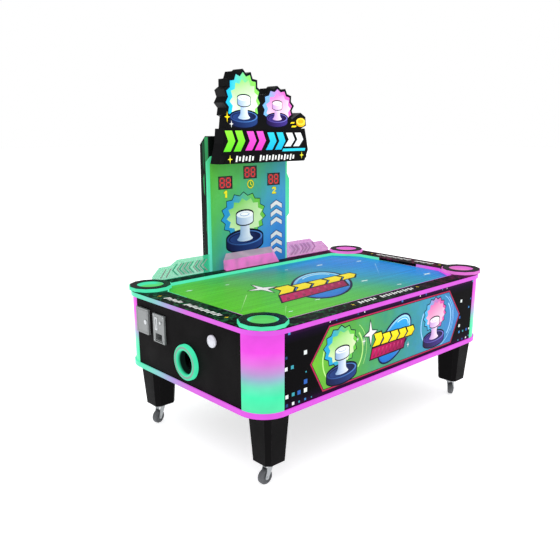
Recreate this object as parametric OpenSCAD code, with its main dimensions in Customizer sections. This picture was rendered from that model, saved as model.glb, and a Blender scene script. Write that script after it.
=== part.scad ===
// Air hockey table with light strips, a score tower and castors. Millimetres, +Z up.
// Origin: on the floor, in the middle of the overall box. +X is the right-hand end seen from the
// long front side, -X is the coin end, and +Y is the side that carries the score tower.

/* [Cabinet] */
// Length of the table over its light strips
cab_length = 1480; // [1400:10:1560]
// Width of the table over its light strips
cab_width = 930; // [900:10:960]
// Radius of the table's corners in plan
corner_r = 118; // [112:2:124]
// Underside of the cabinet above the floor
cab_bottom = 303; // [280:1:320]
// Top face of the rails above the floor
rail_top = 641; // [630:1:680]
// How far the light strips stand out from the panels
strip_proud = 7; // [5:1:9]
// Height of the lower light strip
bottom_strip_h = 20; // [16:1:24]
// Height of the upper light strip
top_strip_h = 18; // [16:1:20]
// Thickness of the cabinet's boards
board = 18; // [15:1:18]

/* [Playing surface] */
// Width of the long rails, from the outer edge to the playing surface
rail_w = 76; // [70:1:82]
// Width of the end rails, from the outer edge to the playing surface
end_rail_w = 107; // [103:1:112]
// Depth of the playing surface below the rails
play_depth = 14; // [12:1:16]
// Thickness of the playing board
play_board = 14; // [12:1:16]
// Chamfer of the playing surface's corners along the table
play_cut_x = 90; // [80:5:100]
// Chamfer of the playing surface's corners across the table
play_cut_y = 130; // [120:5:140]
// Width of each goal slot
goal_w = 244; // [220:2:250]

/* [Corner rings] */
// Inset of each ring's centre from the table's sides
ring_inset = 93; // [90:1:96]
// Outer diameter of the lit band
ring_light_d = 188; // [184:1:190]
// Outer diameter of the black top ring across its corners
ring_d = 180; // [176:1:182]
// Diameter of the opening
ring_hole_d = 116; // [110:1:120]
// Height of the lit band above the rails
ring_light_h = 14; // [12:1:15]

/* [Legs and castors] */
// Distance of the legs' centres from the middle of the table along it
leg_x = 622; // [610:1:626]
// Distance of the legs' centres from the middle of the table across it
leg_y = 373; // [364:1:376]
// Side of a leg at its top
leg_top = 130; // [120:1:136]
// Side of a leg at its foot
leg_foot = 102; // [94:1:106]
// Height of a castor, from the floor to its plate's top
castor_h = 95; // [92:1:100]
// Diameter of a castor wheel
wheel_d = 60; // [56:1:62]
// Width of a castor wheel
wheel_w = 22; // [18:1:24]
// Distance from the swivel's axis back to the wheel's axle
trail = 22; // [18:1:24]

/* [Coin end] */
// Outer diameter of the puck ports' lit rings
port_d = 147; // [140:1:150]
// Diameter of the puck ports
port_hole_d = 98; // [90:1:100]
// Height of the puck ports' centre above the floor
port_z = 420; // [415:1:430]
// How far the puck ports' rings stand out from the end panels
port_proud = 17; // [15:1:19]
// Distance the start button travels
start_travel = 3.5; // [2.5:0.5:3.5]

/* [Score tower] */
// Half of the printed front panel's width
panel_half_w = 243; // [235:1:246]
// Top of the printed front panel
panel_top = 1190; // [1170:5:1195]
// Top of the tower's case
case_top = 1282; // [1270:1:1295]
// Bottom of the tower's case, behind the cabinet
case_bottom = 400; // [380:5:440]
// Width of the tower's case
case_w = 476; // [460:2:480]
// Overall height, to the top of the sign
overall_h = 1580; // [1570:1:1590]
// Depth of the sign
sign_depth = 70; // [60:2:74]

/* [Hidden] */
$fn = 96;

// The table's middle lies this far towards the front, because the tower stands behind it
table_y = -35;
half_l = cab_length / 2;
half_w = cab_width / 2;
arc_x = half_l - corner_r;
arc_y = half_w - corner_r;
panel_x = half_l - strip_proud;
panel_y = half_w - strip_proud;
panel_bottom = cab_bottom + bottom_strip_h;
strip_w = 12;
lip_h = 4;
strip_top = rail_top - lip_h;
panel_top_z = strip_top - top_strip_h;
play_top = rail_top - play_depth;
play_x = half_l - end_rail_w;
play_y = half_w - rail_w;
inner_strip_w = 4;

// Plenum under the playing board
plenum_x = 560;
plenum_wall = 12;
plenum_floor = rail_top - 96;
neck_w = 84;
neck_d = 70;

// Goals and puck ports
goal_depth = 75;
port_y = -15;
port_tube = 3;
chute_wall = 4;
chute_y = 130;
chute_bottom = port_z - 60;

// Coin door, its opening and its hinge
door_y0 = 248;
door_y1 = 339;
door_z0 = 471.5;
door_z1 = 581.5;
door_x0 = -panel_x - 10.5;
door_x1 = -panel_x - 0.5;
door_hole_y0 = 253;
door_hole_y1 = 330;
hinge_x = -panel_x - 3.6;
hinge_y = 343.2;
hinge_r = 3;
knuckle_h = 32;
lock_y = 266;
lock_z = 526;

// Coin acceptor and start button
accept_y0 = 132;
accept_y1 = 214;
accept_z0 = 455;
accept_z1 = 577;
accept_hole = 8;
return_y = 156;
return_z = 545;
start_y = -182;
start_z = 547;

// Castors: the direction in which each fork trails, and the corner it stands at
swivel_pin_r = 5;
axle_r = 4;
run_gap = 0.05;
head_fl = 180;
head_fr = 20;
head_bl = 195;
head_br = 140;

// Tower, measured in the overall frame
tower_front = 415;
panel_t = 4;
edge_t = 11;
case_front = tower_front + panel_t + edge_t;
back_y = 500;
cover_t = 3;
screw_head_h = 1;
cover_y1 = back_y - screw_head_h;
cover_screw_x = case_w / 2 - 6;
cover_screw_z = [430, 625, 820, 1015, 1210];
case_wall = 12;
case_cut_y = 43;
case_cut_z = 37;
sign_front = 325;
display_w = 86;
display_h = 62;
display_x = [-155, 2, 159];
display_z = [1064, 1107, 1066];
guard_y = 420;
guard_t = 5;

// Mains inlet on the back panel
inlet_x = 470;
inlet_z = 372;

module at_table() { translate([0, table_y, 0]) children(); }
module block(x0, x1, y0, y1, z0, z1) { translate([x0, y0, z0]) cube([x1 - x0, y1 - y0, z1 - z0]); }

// Rounded rectangle, l by w, with round corners
module rounded_rect(l, w, r) {
    square([l - 2 * r, w], center = true);
    square([l, w - 2 * r], center = true);
    for (sx = [-1, 1], sy = [-1, 1])
        translate([sx * (l / 2 - r), sy * (w / 2 - r)]) circle(r);
}

// The table's outline, drawn in by a distance all round
module plan(inset) {
    rounded_rect(cab_length - 2 * inset, cab_width - 2 * inset, corner_r - inset);
}

// The playing surface's outline with its cut corners, drawn in by a distance
module play_plan(inset) {
    x = play_x - inset;
    y = play_y - inset;
    cx = play_cut_x - inset * 0.3;
    cy = play_cut_y - inset * 0.5;
    polygon([[x - cx, y], [x, y - cy], [x, cy - y], [x - cx, -y],
        [cx - x, -y], [-x, cy - y], [-x, y - cy], [cx - x, y]]);
}

// ---- Cabinet ----

module floor_panel() {
    color("#1c1c1e") at_table() difference() {
        translate([0, 0, cab_bottom]) linear_extrude(bottom_strip_h) plan(strip_w);
        leg_bolts() cylinder(r = 4.2, h = 3 * board, center = true);
    }
}

module front_panel() {
    color("#101013") at_table() block(-arc_x, arc_x, -panel_y, board - panel_y, panel_bottom, panel_top_z);
}

module back_panel() {
    vent_w = 130;
    vent_h = 8;
    color("#1c1c1e") at_table() difference() {
        block(-arc_x, arc_x, panel_y - board, panel_y, panel_bottom, panel_top_z);
        for (x = [-430, 290], k = [0 : 5])
            block(x, x + vent_w, panel_y - 2 * board, panel_y + 1, 450 + 18 * k, 450 + 18 * k + vent_h);
        block(inlet_x - 15, inlet_x + 15, panel_y - 2 * board, panel_y + 1, inlet_z - 14, inlet_z + 40);
    }
}

module end_panel_board() {
    difference() {
        block(panel_x - board, panel_x, -arc_y, arc_y, panel_bottom, panel_top_z);
        translate([0, port_y, port_z]) rotate([0, 90, 0]) cylinder(r = port_hole_d / 2 + port_tube, h = 2 * panel_x);
    }
}

module left_end_panel() {
    color("#212022") at_table() difference() {
        mirror([1, 0, 0]) end_panel_board();
        block(-panel_x - 1, board * 2 - panel_x, door_hole_y0, door_hole_y1, door_z0 + 5.5, door_z1 - 5.5);
        block(-panel_x - 1, board * 2 - panel_x, accept_y0 + accept_hole, accept_y1 - accept_hole,
            accept_z0 + accept_hole, accept_z1 - accept_hole);
        translate([-panel_x - 1, start_y, start_z]) rotate([0, 90, 0]) cylinder(r = 15.2, h = 2 * board);
    }
}

module right_end_panel() {
    color("#212022") at_table() end_panel_board();
}

// Bent plywood posts that join the boards inside the round corners
module corner_posts() {
    lap = 32;
    color("#b08d5b") at_table() for (sx = [-1, 1], sy = [-1, 1])
        mirror([sx < 0 ? 1 : 0, 0, 0]) mirror([0, sy < 0 ? 1 : 0, 0])
            translate([0, 0, panel_bottom]) linear_extrude(panel_top_z - panel_bottom) {
                difference() {
                    intersection() {
                        translate([arc_x, arc_y]) circle(corner_r - strip_proud - 8);
                        translate([arc_x, arc_y]) square(corner_r);
                    }
                    translate([arc_x, arc_y]) circle(corner_r - strip_proud - 26);
                }
                translate([arc_x - lap, panel_y - 2 * board]) square([lap + 12, board]);
                translate([panel_x - 2 * board, arc_y - lap / 2]) square([board, lap / 2 + 12]);
            }
}

// Translucent corner light, a quarter of a tube
module corner_light(sx, sy, c) {
    wall = 6;
    outer = corner_r - strip_proud;
    color(c) at_table() mirror([sx < 0 ? 1 : 0, 0, 0]) mirror([0, sy < 0 ? 1 : 0, 0])
        translate([arc_x, arc_y, panel_bottom]) linear_extrude(panel_top_z - panel_bottom) intersection() {
            difference() {
                circle(outer);
                circle(outer - wall);
            }
            square(corner_r);
        }
}
module corner_light_fl() { corner_light(-1, -1, "#f060f0"); }
module corner_light_fr() { corner_light(1, -1, "#f060f0"); }
module corner_light_bl() { corner_light(-1, 1, "#5cf5c0"); }
module corner_light_br() { corner_light(1, 1, "#5cf5c0"); }

module light_strip(z, h) {
    at_table() translate([0, 0, z]) linear_extrude(h) difference() {
        plan(0);
        plan(strip_w);
    }
}
module top_light_strip() { color("#ed5cf0") light_strip(panel_top_z, top_strip_h); }
module bottom_light_strip() { color("#ed5cf0") light_strip(cab_bottom, bottom_strip_h); }

// ---- Rails, playing board and air supply ----

// The whole frame of rails, cut into four by the next modules
module rail_frame() {
    difference() {
        union() {
            translate([0, 0, panel_top_z]) linear_extrude(rail_top - panel_top_z) plan(strip_w);
            translate([0, 0, strip_top]) linear_extrude(lip_h) plan(2);
        }
        translate([0, 0, panel_top_z - 1]) linear_extrude(rail_top) play_plan(0);
    }
}

module long_rail() {
    intersection() {
        rail_frame();
        block(-arc_x, arc_x, 0, half_w, 0, overall_h);
    }
}

// An end rail has a pocket, open below and towards the play, where the puck drops in
module end_rail() {
    difference() {
        intersection() {
            rail_frame();
            block(arc_x, half_l, -half_w, half_w, 0, overall_h);
        }
        block(play_x - 20, play_x + goal_depth, -goal_w / 2, goal_w / 2, 0, rail_top - 5);
    }
}
module rail_front() { color("#18221c") at_table() mirror([0, 1, 0]) long_rail(); }
module rail_back() { color("#18221c") at_table() long_rail(); }
module rail_left() { color("#18221c") at_table() mirror([1, 0, 0]) end_rail(); }
module rail_right() { color("#18221c") at_table() end_rail(); }

// Lit strip between the rails and the playing board, cut down to the board at both goals
module inner_light_strip() {
    color("#5cf5c0") at_table() difference() {
        translate([0, 0, play_top - play_board]) linear_extrude(play_board + play_depth - 0.5) difference() {
            play_plan(0.1);
            play_plan(inner_strip_w);
        }
        block(-half_l, half_l, -goal_w / 2, goal_w / 2, play_top, rail_top);
    }
}

module playfield() {
    color("#46ab66") at_table()
        translate([0, 0, play_top - play_board]) linear_extrude(play_board) play_plan(inner_strip_w + 0.1);
}

// Air box under the playing board, with side flanges that rest on the cabinet's boards
module plenum_tray() {
    top = play_top - play_board;
    outer_y = play_y;
    color("#a9a08c") at_table() difference() {
        union() {
            block(-plenum_x, plenum_x, -outer_y, outer_y, plenum_floor, top);
            block(-plenum_x, plenum_x, board - panel_y, panel_y - board, top - plenum_wall, top);
        }
        block(plenum_wall - plenum_x, plenum_x - plenum_wall, plenum_wall - outer_y, outer_y - plenum_wall,
            plenum_floor + plenum_wall, top + 1);
        block(-neck_w / 2, neck_w / 2, -neck_d / 2, neck_d / 2, plenum_floor - 1, top);
    }
}

blower_z = 428;
blower_r = 98;
blower_half = 39;
blower_sheet = 4;

// Side view of the blower's scroll and its outlet neck, which rises by a height from the axis
module scroll(r, w, rise) {
    circle(r);
    translate([-w / 2, 0]) square([w, rise]);
}

module blower_housing() {
    inner_half = blower_half - blower_sheet;
    rise = plenum_floor - blower_z;
    color("#2b2b2e") at_table() difference() {
        union() {
            translate([0, blower_half, blower_z]) rotate([90, 0, 0])
                linear_extrude(2 * blower_half) scroll(blower_r, neck_w, rise);
            for (x = [-70, 70]) block(x - 12, x + 12, -30, 30, panel_bottom, blower_z - 66);
        }
        translate([0, inner_half, blower_z]) rotate([90, 0, 0])
            linear_extrude(2 * inner_half) scroll(blower_r - blower_sheet, neck_w - 2 * blower_sheet, rise + 1);
        translate([0, 0, blower_z]) rotate([90, 0, 0]) cylinder(r = 52, h = 2 * blower_half);
        translate([0, 0, blower_z]) rotate([-90, 0, 0]) cylinder(r = 9, h = 2 * blower_half);
    }
}

module blower_motor() {
    color("#7d7f82") at_table() translate([0, 0, blower_z]) rotate([-90, 0, 0]) {
        translate([0, 0, blower_half]) cylinder(r = 40, h = 70);
        translate([0, 0, blower_half + 70]) cylinder(r = 34, h = 8);
        translate([0, 0, -20]) cylinder(r = 5, h = blower_half + 21);
    }
}

// Wheel of straight vanes between a disc and a rim, on the motor's shaft
module blower_impeller() {
    vanes = 18;
    r = 80;
    color("#9aa0a4") at_table() translate([0, 0, blower_z]) rotate([90, 0, 0]) {
        difference() {
            union() {
                translate([0, 0, -30]) cylinder(r = r, h = 4);
                translate([0, 0, -30]) cylinder(r = 14, h = 34);
                for (k = [0 : vanes - 1]) rotate(k * 360 / vanes)
                    translate([r - 20, -1.25, -27]) cube([19, 2.5, 55]);
                translate([0, 0, 26]) difference() {
                    cylinder(r = r, h = 3);
                    translate([0, 0, -1]) cylinder(r = r - 21, h = 5);
                }
            }
            translate([0, 0, -31]) cylinder(r = swivel_pin_r + run_gap, h = 60);
        }
    }
}

// Sloping boxes that carry a scored puck from the goal down to the port
module puck_chute() {
    x0 = play_x + 0.5;
    x1 = panel_x - board;
    difference() {
        block(x0, x1, port_y - chute_y, port_y + chute_y + 15, chute_bottom, panel_top_z);
        translate([0, port_y + chute_y + 15 - chute_wall, 0]) rotate([90, 0, 0])
            linear_extrude(2 * chute_y + 15 - 2 * chute_wall) polygon([
                [x0 + chute_wall, panel_top_z + 1], [x0 + chute_wall, chute_bottom + 40],
                [x1 - chute_wall, chute_bottom + 11], [x1 - chute_wall, panel_top_z + 1]]);
        translate([x1 - 2 * chute_wall, port_y, port_z]) rotate([0, 90, 0])
            cylinder(r = port_hole_d / 2 + port_tube, h = 4 * chute_wall);
    }
}
module puck_chutes() {
    color("#38383c") at_table() {
        puck_chute();
        mirror([1, 0, 0]) puck_chute();
    }
}

// Lit ring and sleeve of a puck port
module port_ring() {
    r0 = port_hole_d / 2;
    r1 = port_d / 2;
    round_r = 6;
    translate([panel_x, port_y, port_z]) rotate([0, 90, 0]) {
        rotate_extrude() {
            translate([r0, 0]) square([r1 - r0, port_proud - round_r]);
            translate([r0 + round_r, 0]) square([r1 - r0 - 2 * round_r, port_proud]);
            for (r = [r0 + round_r, r1 - round_r]) translate([r, port_proud - round_r]) circle(round_r, $fn = 48);
        }
        translate([0, 0, -board - chute_wall]) difference() {
            cylinder(r = r0 + port_tube, h = board + chute_wall + 1);
            translate([0, 0, -1]) cylinder(r = r0, h = board + chute_wall + 3);
        }
    }
}
module puck_port_rings() {
    color("#4fe8b4") at_table() {
        port_ring();
        mirror([1, 0, 0]) port_ring();
    }
}

// ---- Corner rings ----

module at_corners() {
    at_table() for (sx = [-1, 1], sy = [-1, 1])
        translate([sx * (half_l - ring_inset), sy * (half_w - ring_inset), rail_top]) children();
}

// Black twelve-sided ring on top of each lit band
module corner_rings() {
    color("#0f0f10") at_corners() difference() {
        translate([0, 0, ring_light_h]) rotate(15) cylinder(d = ring_d, h = 3, $fn = 12);
        translate([0, 0, ring_light_h - 1]) cylinder(d = ring_hole_d, h = 5);
    }
}

// Lit band with a shallow dish inside, where a player sets a striker down
module ring_lights() {
    color("#5cf5c0") at_corners() difference() {
        rotate(15) cylinder(d = ring_light_d, h = ring_light_h, $fn = 12);
        translate([0, 0, 3]) cylinder(d = ring_hole_d - 8, h = ring_light_h);
    }
}

// ---- Coin end ----

module coin_door() {
    skin = 3;
    z_mid = (door_z0 + door_z1) / 2;
    color("#aaafaf") at_table() difference() {
        union() {
            difference() {
                block(door_x0, door_x1, door_y0, door_y1, door_z0, door_z1);
                block(door_x0 + skin, door_x1 + 1, door_y0 + skin, door_y1 - skin, door_z0 + skin, door_z1 - skin);
            }
            block(door_x0 + 4, door_x1 - 1, door_y1 - 1, hinge_y, z_mid - knuckle_h / 2, z_mid + knuckle_h / 2);
            translate([hinge_x, hinge_y, z_mid - knuckle_h / 2]) cylinder(r = hinge_r, h = knuckle_h);
        }
        translate([door_x0 - 1, lock_y, lock_z]) rotate([0, 90, 0]) cylinder(r = 8 + run_gap, h = 20);
        translate([hinge_x, hinge_y, door_z0]) cylinder(r = 1.5 + run_gap, h = door_z1 - door_z0);
    }
}

module coin_lock() {
    color("#c9ccce") at_table() difference() {
        translate([0, lock_y, lock_z]) {
            translate([door_x0 - 3.2, 0, 0]) rotate([0, 90, 0]) cylinder(r = 10, h = 3);
            translate([door_x0 - 1, 0, 0]) rotate([0, 90, 0]) cylinder(r = 8, h = 14);
            translate([door_x0 + 12, 0, 0]) rotate([0, 90, 0]) cylinder(r = 4, h = 20);
            block(1.6 + board - panel_x, 4 + board - panel_x, -5, 5, -28, 5);
        }
        block(door_x0 - 4, door_x0 - 2, lock_y - 0.8, lock_y + 0.8, lock_z - 4, lock_z + 4);
    }
}

module cash_box() {
    wall = 2;
    color("#8f9496") at_table() difference() {
        block(-700, -578, 256, 328, 470, 560);
        block(wall - 700, -578 - wall, 256 + wall, 328 - wall, 470 + wall, 561);
    }
}

module coin_acceptor() {
    proud = 8;
    cup_y0 = 150;
    cup_y1 = 198;
    cup_z0 = 466;
    cup_z1 = 494;
    x0 = -panel_x - proud;
    color("#a2a7a8") at_table() difference() {
        union() {
            block(x0, -panel_x, accept_y0, accept_y1, accept_z0, accept_z1);
            block(x0 + 3, -panel_x, accept_y1 - 1, accept_y1 + 5, accept_z0 + 8, accept_z0 + 30);
            block(-panel_x - 1, 60 - panel_x, accept_y0 + accept_hole + 2, accept_y1 - accept_hole - 2,
                accept_z0 + accept_hole + 2, accept_z1 - accept_hole - 2);
            block(x0 - 5, x0 + 1, cup_y0 - 4, cup_y1 + 4, cup_z0 - 8, cup_z0 - 4);
        }
        block(x0 - 1, x0 + 30, 187, 190.4, 516, 556);
        block(x0 - 1, x0 + 36, cup_y0, cup_y1, cup_z0, cup_z1);
        translate([x0 - 1, return_y, return_z]) rotate([0, 90, 0]) cylinder(r = 6 + run_gap, h = 24);
    }
}

module coin_return_button() {
    color("#d7dadb") at_table() translate([-panel_x - 12, return_y, return_z]) rotate([0, 90, 0])
        cylinder(r = 6, h = 20);
}

module start_button_bezel() {
    color("#e9ebef") at_table() translate([-panel_x, start_y, start_z]) rotate([0, 90, 0]) difference() {
        union() {
            rotate_extrude() {
                translate([0, -5]) square([24.5, 5]);
                translate([0, -8]) square([21.5, 8]);
                translate([21.5, -5]) circle(3, $fn = 48);
            }
            cylinder(r = 15, h = 30);
            translate([0, 0, board]) cylinder(r = 20, h = 6);
        }
        translate([0, 0, -9]) cylinder(r = 19.6, h = 7);
        translate([0, 0, -9]) cylinder(r = 12 + run_gap, h = 50);
    }
}

// Domed cap on a round stem
module start_button() {
    cap_r = 19.2;
    dome_h = 6;
    dome_r = (cap_r * cap_r + dome_h * dome_h) / (2 * dome_h);
    color("#f4f5f8") at_table() translate([-panel_x - 2 - start_travel, start_y, start_z]) rotate([0, -90, 0]) {
        cylinder(r = cap_r, h = 3);
        intersection() {
            translate([0, 0, 3 + dome_h - dome_r]) sphere(r = dome_r);
            translate([0, 0, 2.9]) cylinder(r = cap_r, h = dome_h + 1);
        }
        translate([0, 0, -24]) cylinder(r = 12, h = 25);
    }
}

// ---- Legs and castors ----

module at_leg(sx, sy) { at_table() translate([sx * leg_x, sy * leg_y, 0]) children(); }

// The four bolt places on each leg, at the underside of the cabinet
module leg_bolts() {
    for (sx = [-1, 1], sy = [-1, 1], bx = [-30, 30], by = [-30, 30])
        translate([sx * leg_x + bx, sy * leg_y + by, cab_bottom]) children();
}

// Square section with cut corners
module leg_section(side, z) {
    cut = side * 0.16;
    h = side / 2;
    translate([0, 0, z]) linear_extrude(0.01) polygon([[h - cut, h], [h, h - cut], [h, cut - h], [h - cut, -h],
        [cut - h, -h], [-h, cut - h], [-h, h - cut], [cut - h, h]]);
}

module leg(sx, sy) {
    color("#1d1c1e") at_leg(sx, sy) difference() {
        hull() {
            leg_section(leg_foot, castor_h);
            leg_section(leg_top, cab_bottom - 0.01);
        }
        for (bx = [-30, 30], by = [-30, 30])
            translate([bx, by, cab_bottom - 45]) cylinder(r = 4.2, h = 60);
    }
}
module leg_fl() { leg(-1, -1); }
module leg_fr() { leg(1, -1); }
module leg_bl() { leg(-1, 1); }
module leg_br() { leg(1, 1); }

// Steel plates under the legs, each with its raised ball race and kingpin
module castor_plates() {
    color("#b9bcbe") at_table() for (sx = [-1, 1], sy = [-1, 1]) translate([sx * leg_x, sy * leg_y, 0]) {
        block(-38, 38, -38, 38, castor_h - 3, castor_h);
        translate([0, 0, castor_h - 6]) cylinder(r = 19, h = 4);
        translate([0, 0, castor_h - 23]) cylinder(r = swivel_pin_r, h = 20);
    }
}

// Swivelling fork with its axle; it trails along +X before it is turned
module castor_fork(sx, sy, heading) {
    top = castor_h - 6.4;
    plate_y = wheel_w / 2 + 1.5;
    axle_z = wheel_d / 2;
    color("#c4c7c9") at_leg(sx, sy) rotate(heading) {
        difference() {
            translate([0, 0, top - 12]) cylinder(r = 21, h = 12);
            translate([0, 0, top - 13]) cylinder(r = swivel_pin_r + run_gap, h = 14);
            translate([0, 0, top - 17]) cylinder(r = 14, h = 8);
        }
        for (s = [-1, 1]) translate([0, s * plate_y + (s > 0 ? 3 : 0), 0]) rotate([90, 0, 0])
            linear_extrude(3) {
                polygon([[-15, top - 3], [16, top - 3], [trail + 9, axle_z], [trail - 9, axle_z], [-4, top - 26]]);
                translate([trail, axle_z]) circle(9, $fn = 48);
            }
        translate([trail, plate_y + 4.5, axle_z]) rotate([90, 0, 0]) cylinder(r = axle_r, h = 2 * plate_y + 9);
    }
}
module castor_fork_fl() { castor_fork(-1, -1, head_fl); }
module castor_fork_fr() { castor_fork(1, -1, head_fr); }
module castor_fork_bl() { castor_fork(-1, 1, head_bl); }
module castor_fork_br() { castor_fork(1, 1, head_br); }

module castor_wheel(sx, sy, heading) {
    edge = 5;
    r = wheel_d / 2;
    h = wheel_w / 2;
    color("#77797c") at_leg(sx, sy) rotate(heading) translate([trail, 0, r]) rotate([90, 0, 0])
        rotate_extrude() difference() {
            union() {
                translate([0, -h + edge]) square([r, 2 * (h - edge)]);
                translate([0, -h]) square([r - edge, 2 * h]);
                for (z = [-h + edge, h - edge]) translate([r - edge, z]) circle(edge, $fn = 48);
            }
            translate([-1, -wheel_w]) square([1 + axle_r + run_gap, 2 * wheel_w]);
            for (s = [-1, 1]) translate([11, s * h - 1.5]) square([9, 3]);
        }
}
module castor_wheel_fl() { castor_wheel(-1, -1, head_fl); }
module castor_wheel_fr() { castor_wheel(1, -1, head_fr); }
module castor_wheel_bl() { castor_wheel(-1, 1, head_bl); }
module castor_wheel_br() { castor_wheel(1, 1, head_br); }

// ---- Score tower ----

// Side view of the tower's case, drawn in by a wall
module case_side(wall) {
    y0 = case_front + wall;
    y1 = wall > 0 ? back_y : cover_y1 - cover_t;
    top = case_top - wall;
    polygon([[y0, case_bottom + wall], [y1, case_bottom + wall], [y1, case_top - case_cut_z - wall * 0.9],
        [back_y - case_cut_y, top], [y0, top]]);
}

// The places of the screws that hold the back cover on the case's sides
module cover_screws() {
    for (sx = [-1, 1], z = cover_screw_z)
        translate([sx * cover_screw_x, back_y, z]) rotate([90, 0, 0]) children();
}

module tower_case() {
    color("#0e1512") difference() {
        translate([-case_w / 2, 0, 0]) rotate([90, 0, 90]) linear_extrude(case_w) case_side(0);
        translate([case_wall - case_w / 2, 0, 0]) rotate([90, 0, 90])
            linear_extrude(case_w - 2 * case_wall) case_side(case_wall);
        display_places() block(-display_w / 2 + 5, display_w / 2 - 5, -5, 30, 5 - display_h / 2, display_h / 2 - 5);
        cover_screws() cylinder(r = 2.05, h = 24, $fn = 24);
    }
}

// Screwed-on sheet that closes the case's open back, with cooling slots
module tower_back_cover() {
    slot_w = 160;
    color("#17181a") difference() {
        block(-case_w / 2, case_w / 2, cover_y1 - cover_t, cover_y1, case_bottom, case_top - case_cut_z - 1);
        for (k = [0 : 5], x = [-200, 40])
            block(x, x + slot_w, back_y - 3 * cover_t, back_y + 1, 1080 + 16 * k, 1087 + 16 * k);
        cover_screws() cylinder(r = 2.05, h = 24, $fn = 24);
    }
}

module display_places() {
    for (k = [0 : 2]) translate([display_x[k], case_front, display_z[k]]) children();
}

// Outline of the panel or of the light plate behind it, with cut top corners
module tower_plate(half, top, depth) {
    cut = 26;
    rotate([90, 0, 0]) linear_extrude(depth) polygon([[-half, rail_top], [half, rail_top], [half, top - cut],
        [half - cut, top], [cut - half, top], [-half, top - cut]]);
}

module tower_front_panel() {
    color("#3f9f74") difference() {
        translate([0, tower_front + panel_t, 0]) tower_plate(panel_half_w, panel_top - 8, panel_t);
        display_places() block(-display_w / 2, display_w / 2, -30, 30, -display_h / 2, display_h / 2);
    }
}

// Mint acrylic plate behind the panel; its edge glows, and a fin stands out on the right
module tower_edge_light() {
    half = panel_half_w + 15;
    fin = 17;
    color("#58e0b4") difference() {
        union() {
            translate([0, case_front, 0]) tower_plate(half, panel_top, edge_t);
            translate([0, case_front, 0]) rotate([90, 0, 0]) linear_extrude(edge_t)
                polygon([[half - 1, 864], [half + fin, 880], [half + fin, 1062], [half - 1, 1094]]);
        }
        display_places() block(-display_w / 2, display_w / 2, -30, 30, -display_h / 2, display_h / 2);
    }
}

module score_displays() {
    color("#3a0a0c") display_places() block(0.2 - display_w / 2, display_w / 2 - 0.2, -edge_t - panel_t + 1, 0,
        0.2 - display_h / 2, display_h / 2 - 0.2);
}

// Round burst with pointed rays: radii of its points and of its valleys
module burst(x, z, rays, rx, rz, valley) {
    translate([x, z]) polygon([for (k = [0 : 2 * rays - 1])
        let (a = 180 * k / rays + 90, f = k % 2 == 0 ? 1 : valley) [rx * f * cos(a), rz * f * sin(a)]]);
}

// Outline of the sign, drawn in by a distance
module sign_plan(e) {
    burst(-112, overall_h - 136, 15, 118 - e, 136 - e, 0.86);
    burst(104, 1412, 13, 112 - e, 102 - e, 0.86);
    polygon([[-258 + e, 1157 + e], [292 - e, 1157 + e], [317 - e, 1212], [292 - e, 1316 - e], [-225 + e, 1316 - e],
        [-232 + e, 1250]]);
    polygon([[-206 + e, 1300], [206 - e, 1300], [190 - e, 1404], [0, 1470 - e], [-192 + e, 1404]]);
    polygon([[150, 1300], [250, 1310], [300 - e, 1330], [296 - e, 1372 - e], [262, 1392 - e], [180, 1350]]);
}

module sign_layer(y, depth, e) {
    translate([0, y + depth, 0]) rotate([90, 0, 0]) linear_extrude(depth) sign_plan(e);
}

// Deep tray with a closed face, and the sheet that closes it behind
module header_sign() {
    sheet = 3;
    color("#0c0c0d") {
        difference() {
            sign_layer(sign_front, sign_depth - sheet, 0);
            sign_layer(sign_front + sheet, sign_depth, sheet);
        }
        sign_layer(sign_front + sign_depth - sheet, sheet, 0);
    }
}

// Steel blocks that hold the case on the cabinet's back, and the sign on the case
module mounting_brackets() {
    color("#5b5e61") {
        for (x = [-170, 170])
            block(x - 25, x + 25, table_y + panel_y, case_front, case_bottom + 30, case_bottom + 190);
        for (x = [-130, 130])
            block(x - 20, x + 20, sign_front + sign_depth, case_front, panel_top + 8, panel_top + 70);
    }
}

// Hollow pink cover with a sloping top, at the foot of the panel
module tower_shelf() {
    y0 = 379;
    y1 = tower_front;
    z0 = rail_top;
    wall = 4;
    module shell(e) {
        hull() {
            translate([0, y0 + e, 0]) rotate([90, 0, 0]) linear_extrude(0.01)
                polygon([[-187 + e, z0 - e], [165 - e, z0 - e], [118 - e, z0 + 54 - e], [-205 + e, z0 + 54 - e]]);
            translate([0, y1 + e, 0]) rotate([90, 0, 0]) linear_extrude(0.01)
                polygon([[-175 + e, z0 - e], [178 - e, z0 - e], [140 - e, z0 + 78 - e], [-160 + e, z0 + 78 - e]]);
        }
    }
    color("#e78fd6") difference() {
        shell(0);
        shell(wall);
    }
}

module side_guard(points) {
    translate([0, guard_y + guard_t / 2, 0]) rotate([90, 0, 0]) linear_extrude(guard_t) polygon(points);
}
module side_guard_left() {
    x1 = -panel_half_w - 17;
    color("#7fe8c8") side_guard([[-584, rail_top], [x1, rail_top], [x1, 727], [-445, 726], [-487, 702],
        [-545, 702], [-584, 664]]);
}
module side_guard_right() {
    x0 = panel_half_w + 17;
    color("#d87ec8") side_guard([[x0, rail_top], [584, rail_top], [584, 660], [528, 704], [466, 704],
        [434, 727], [x0, 727]]);
}

// ---- Electrical parts ----

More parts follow.
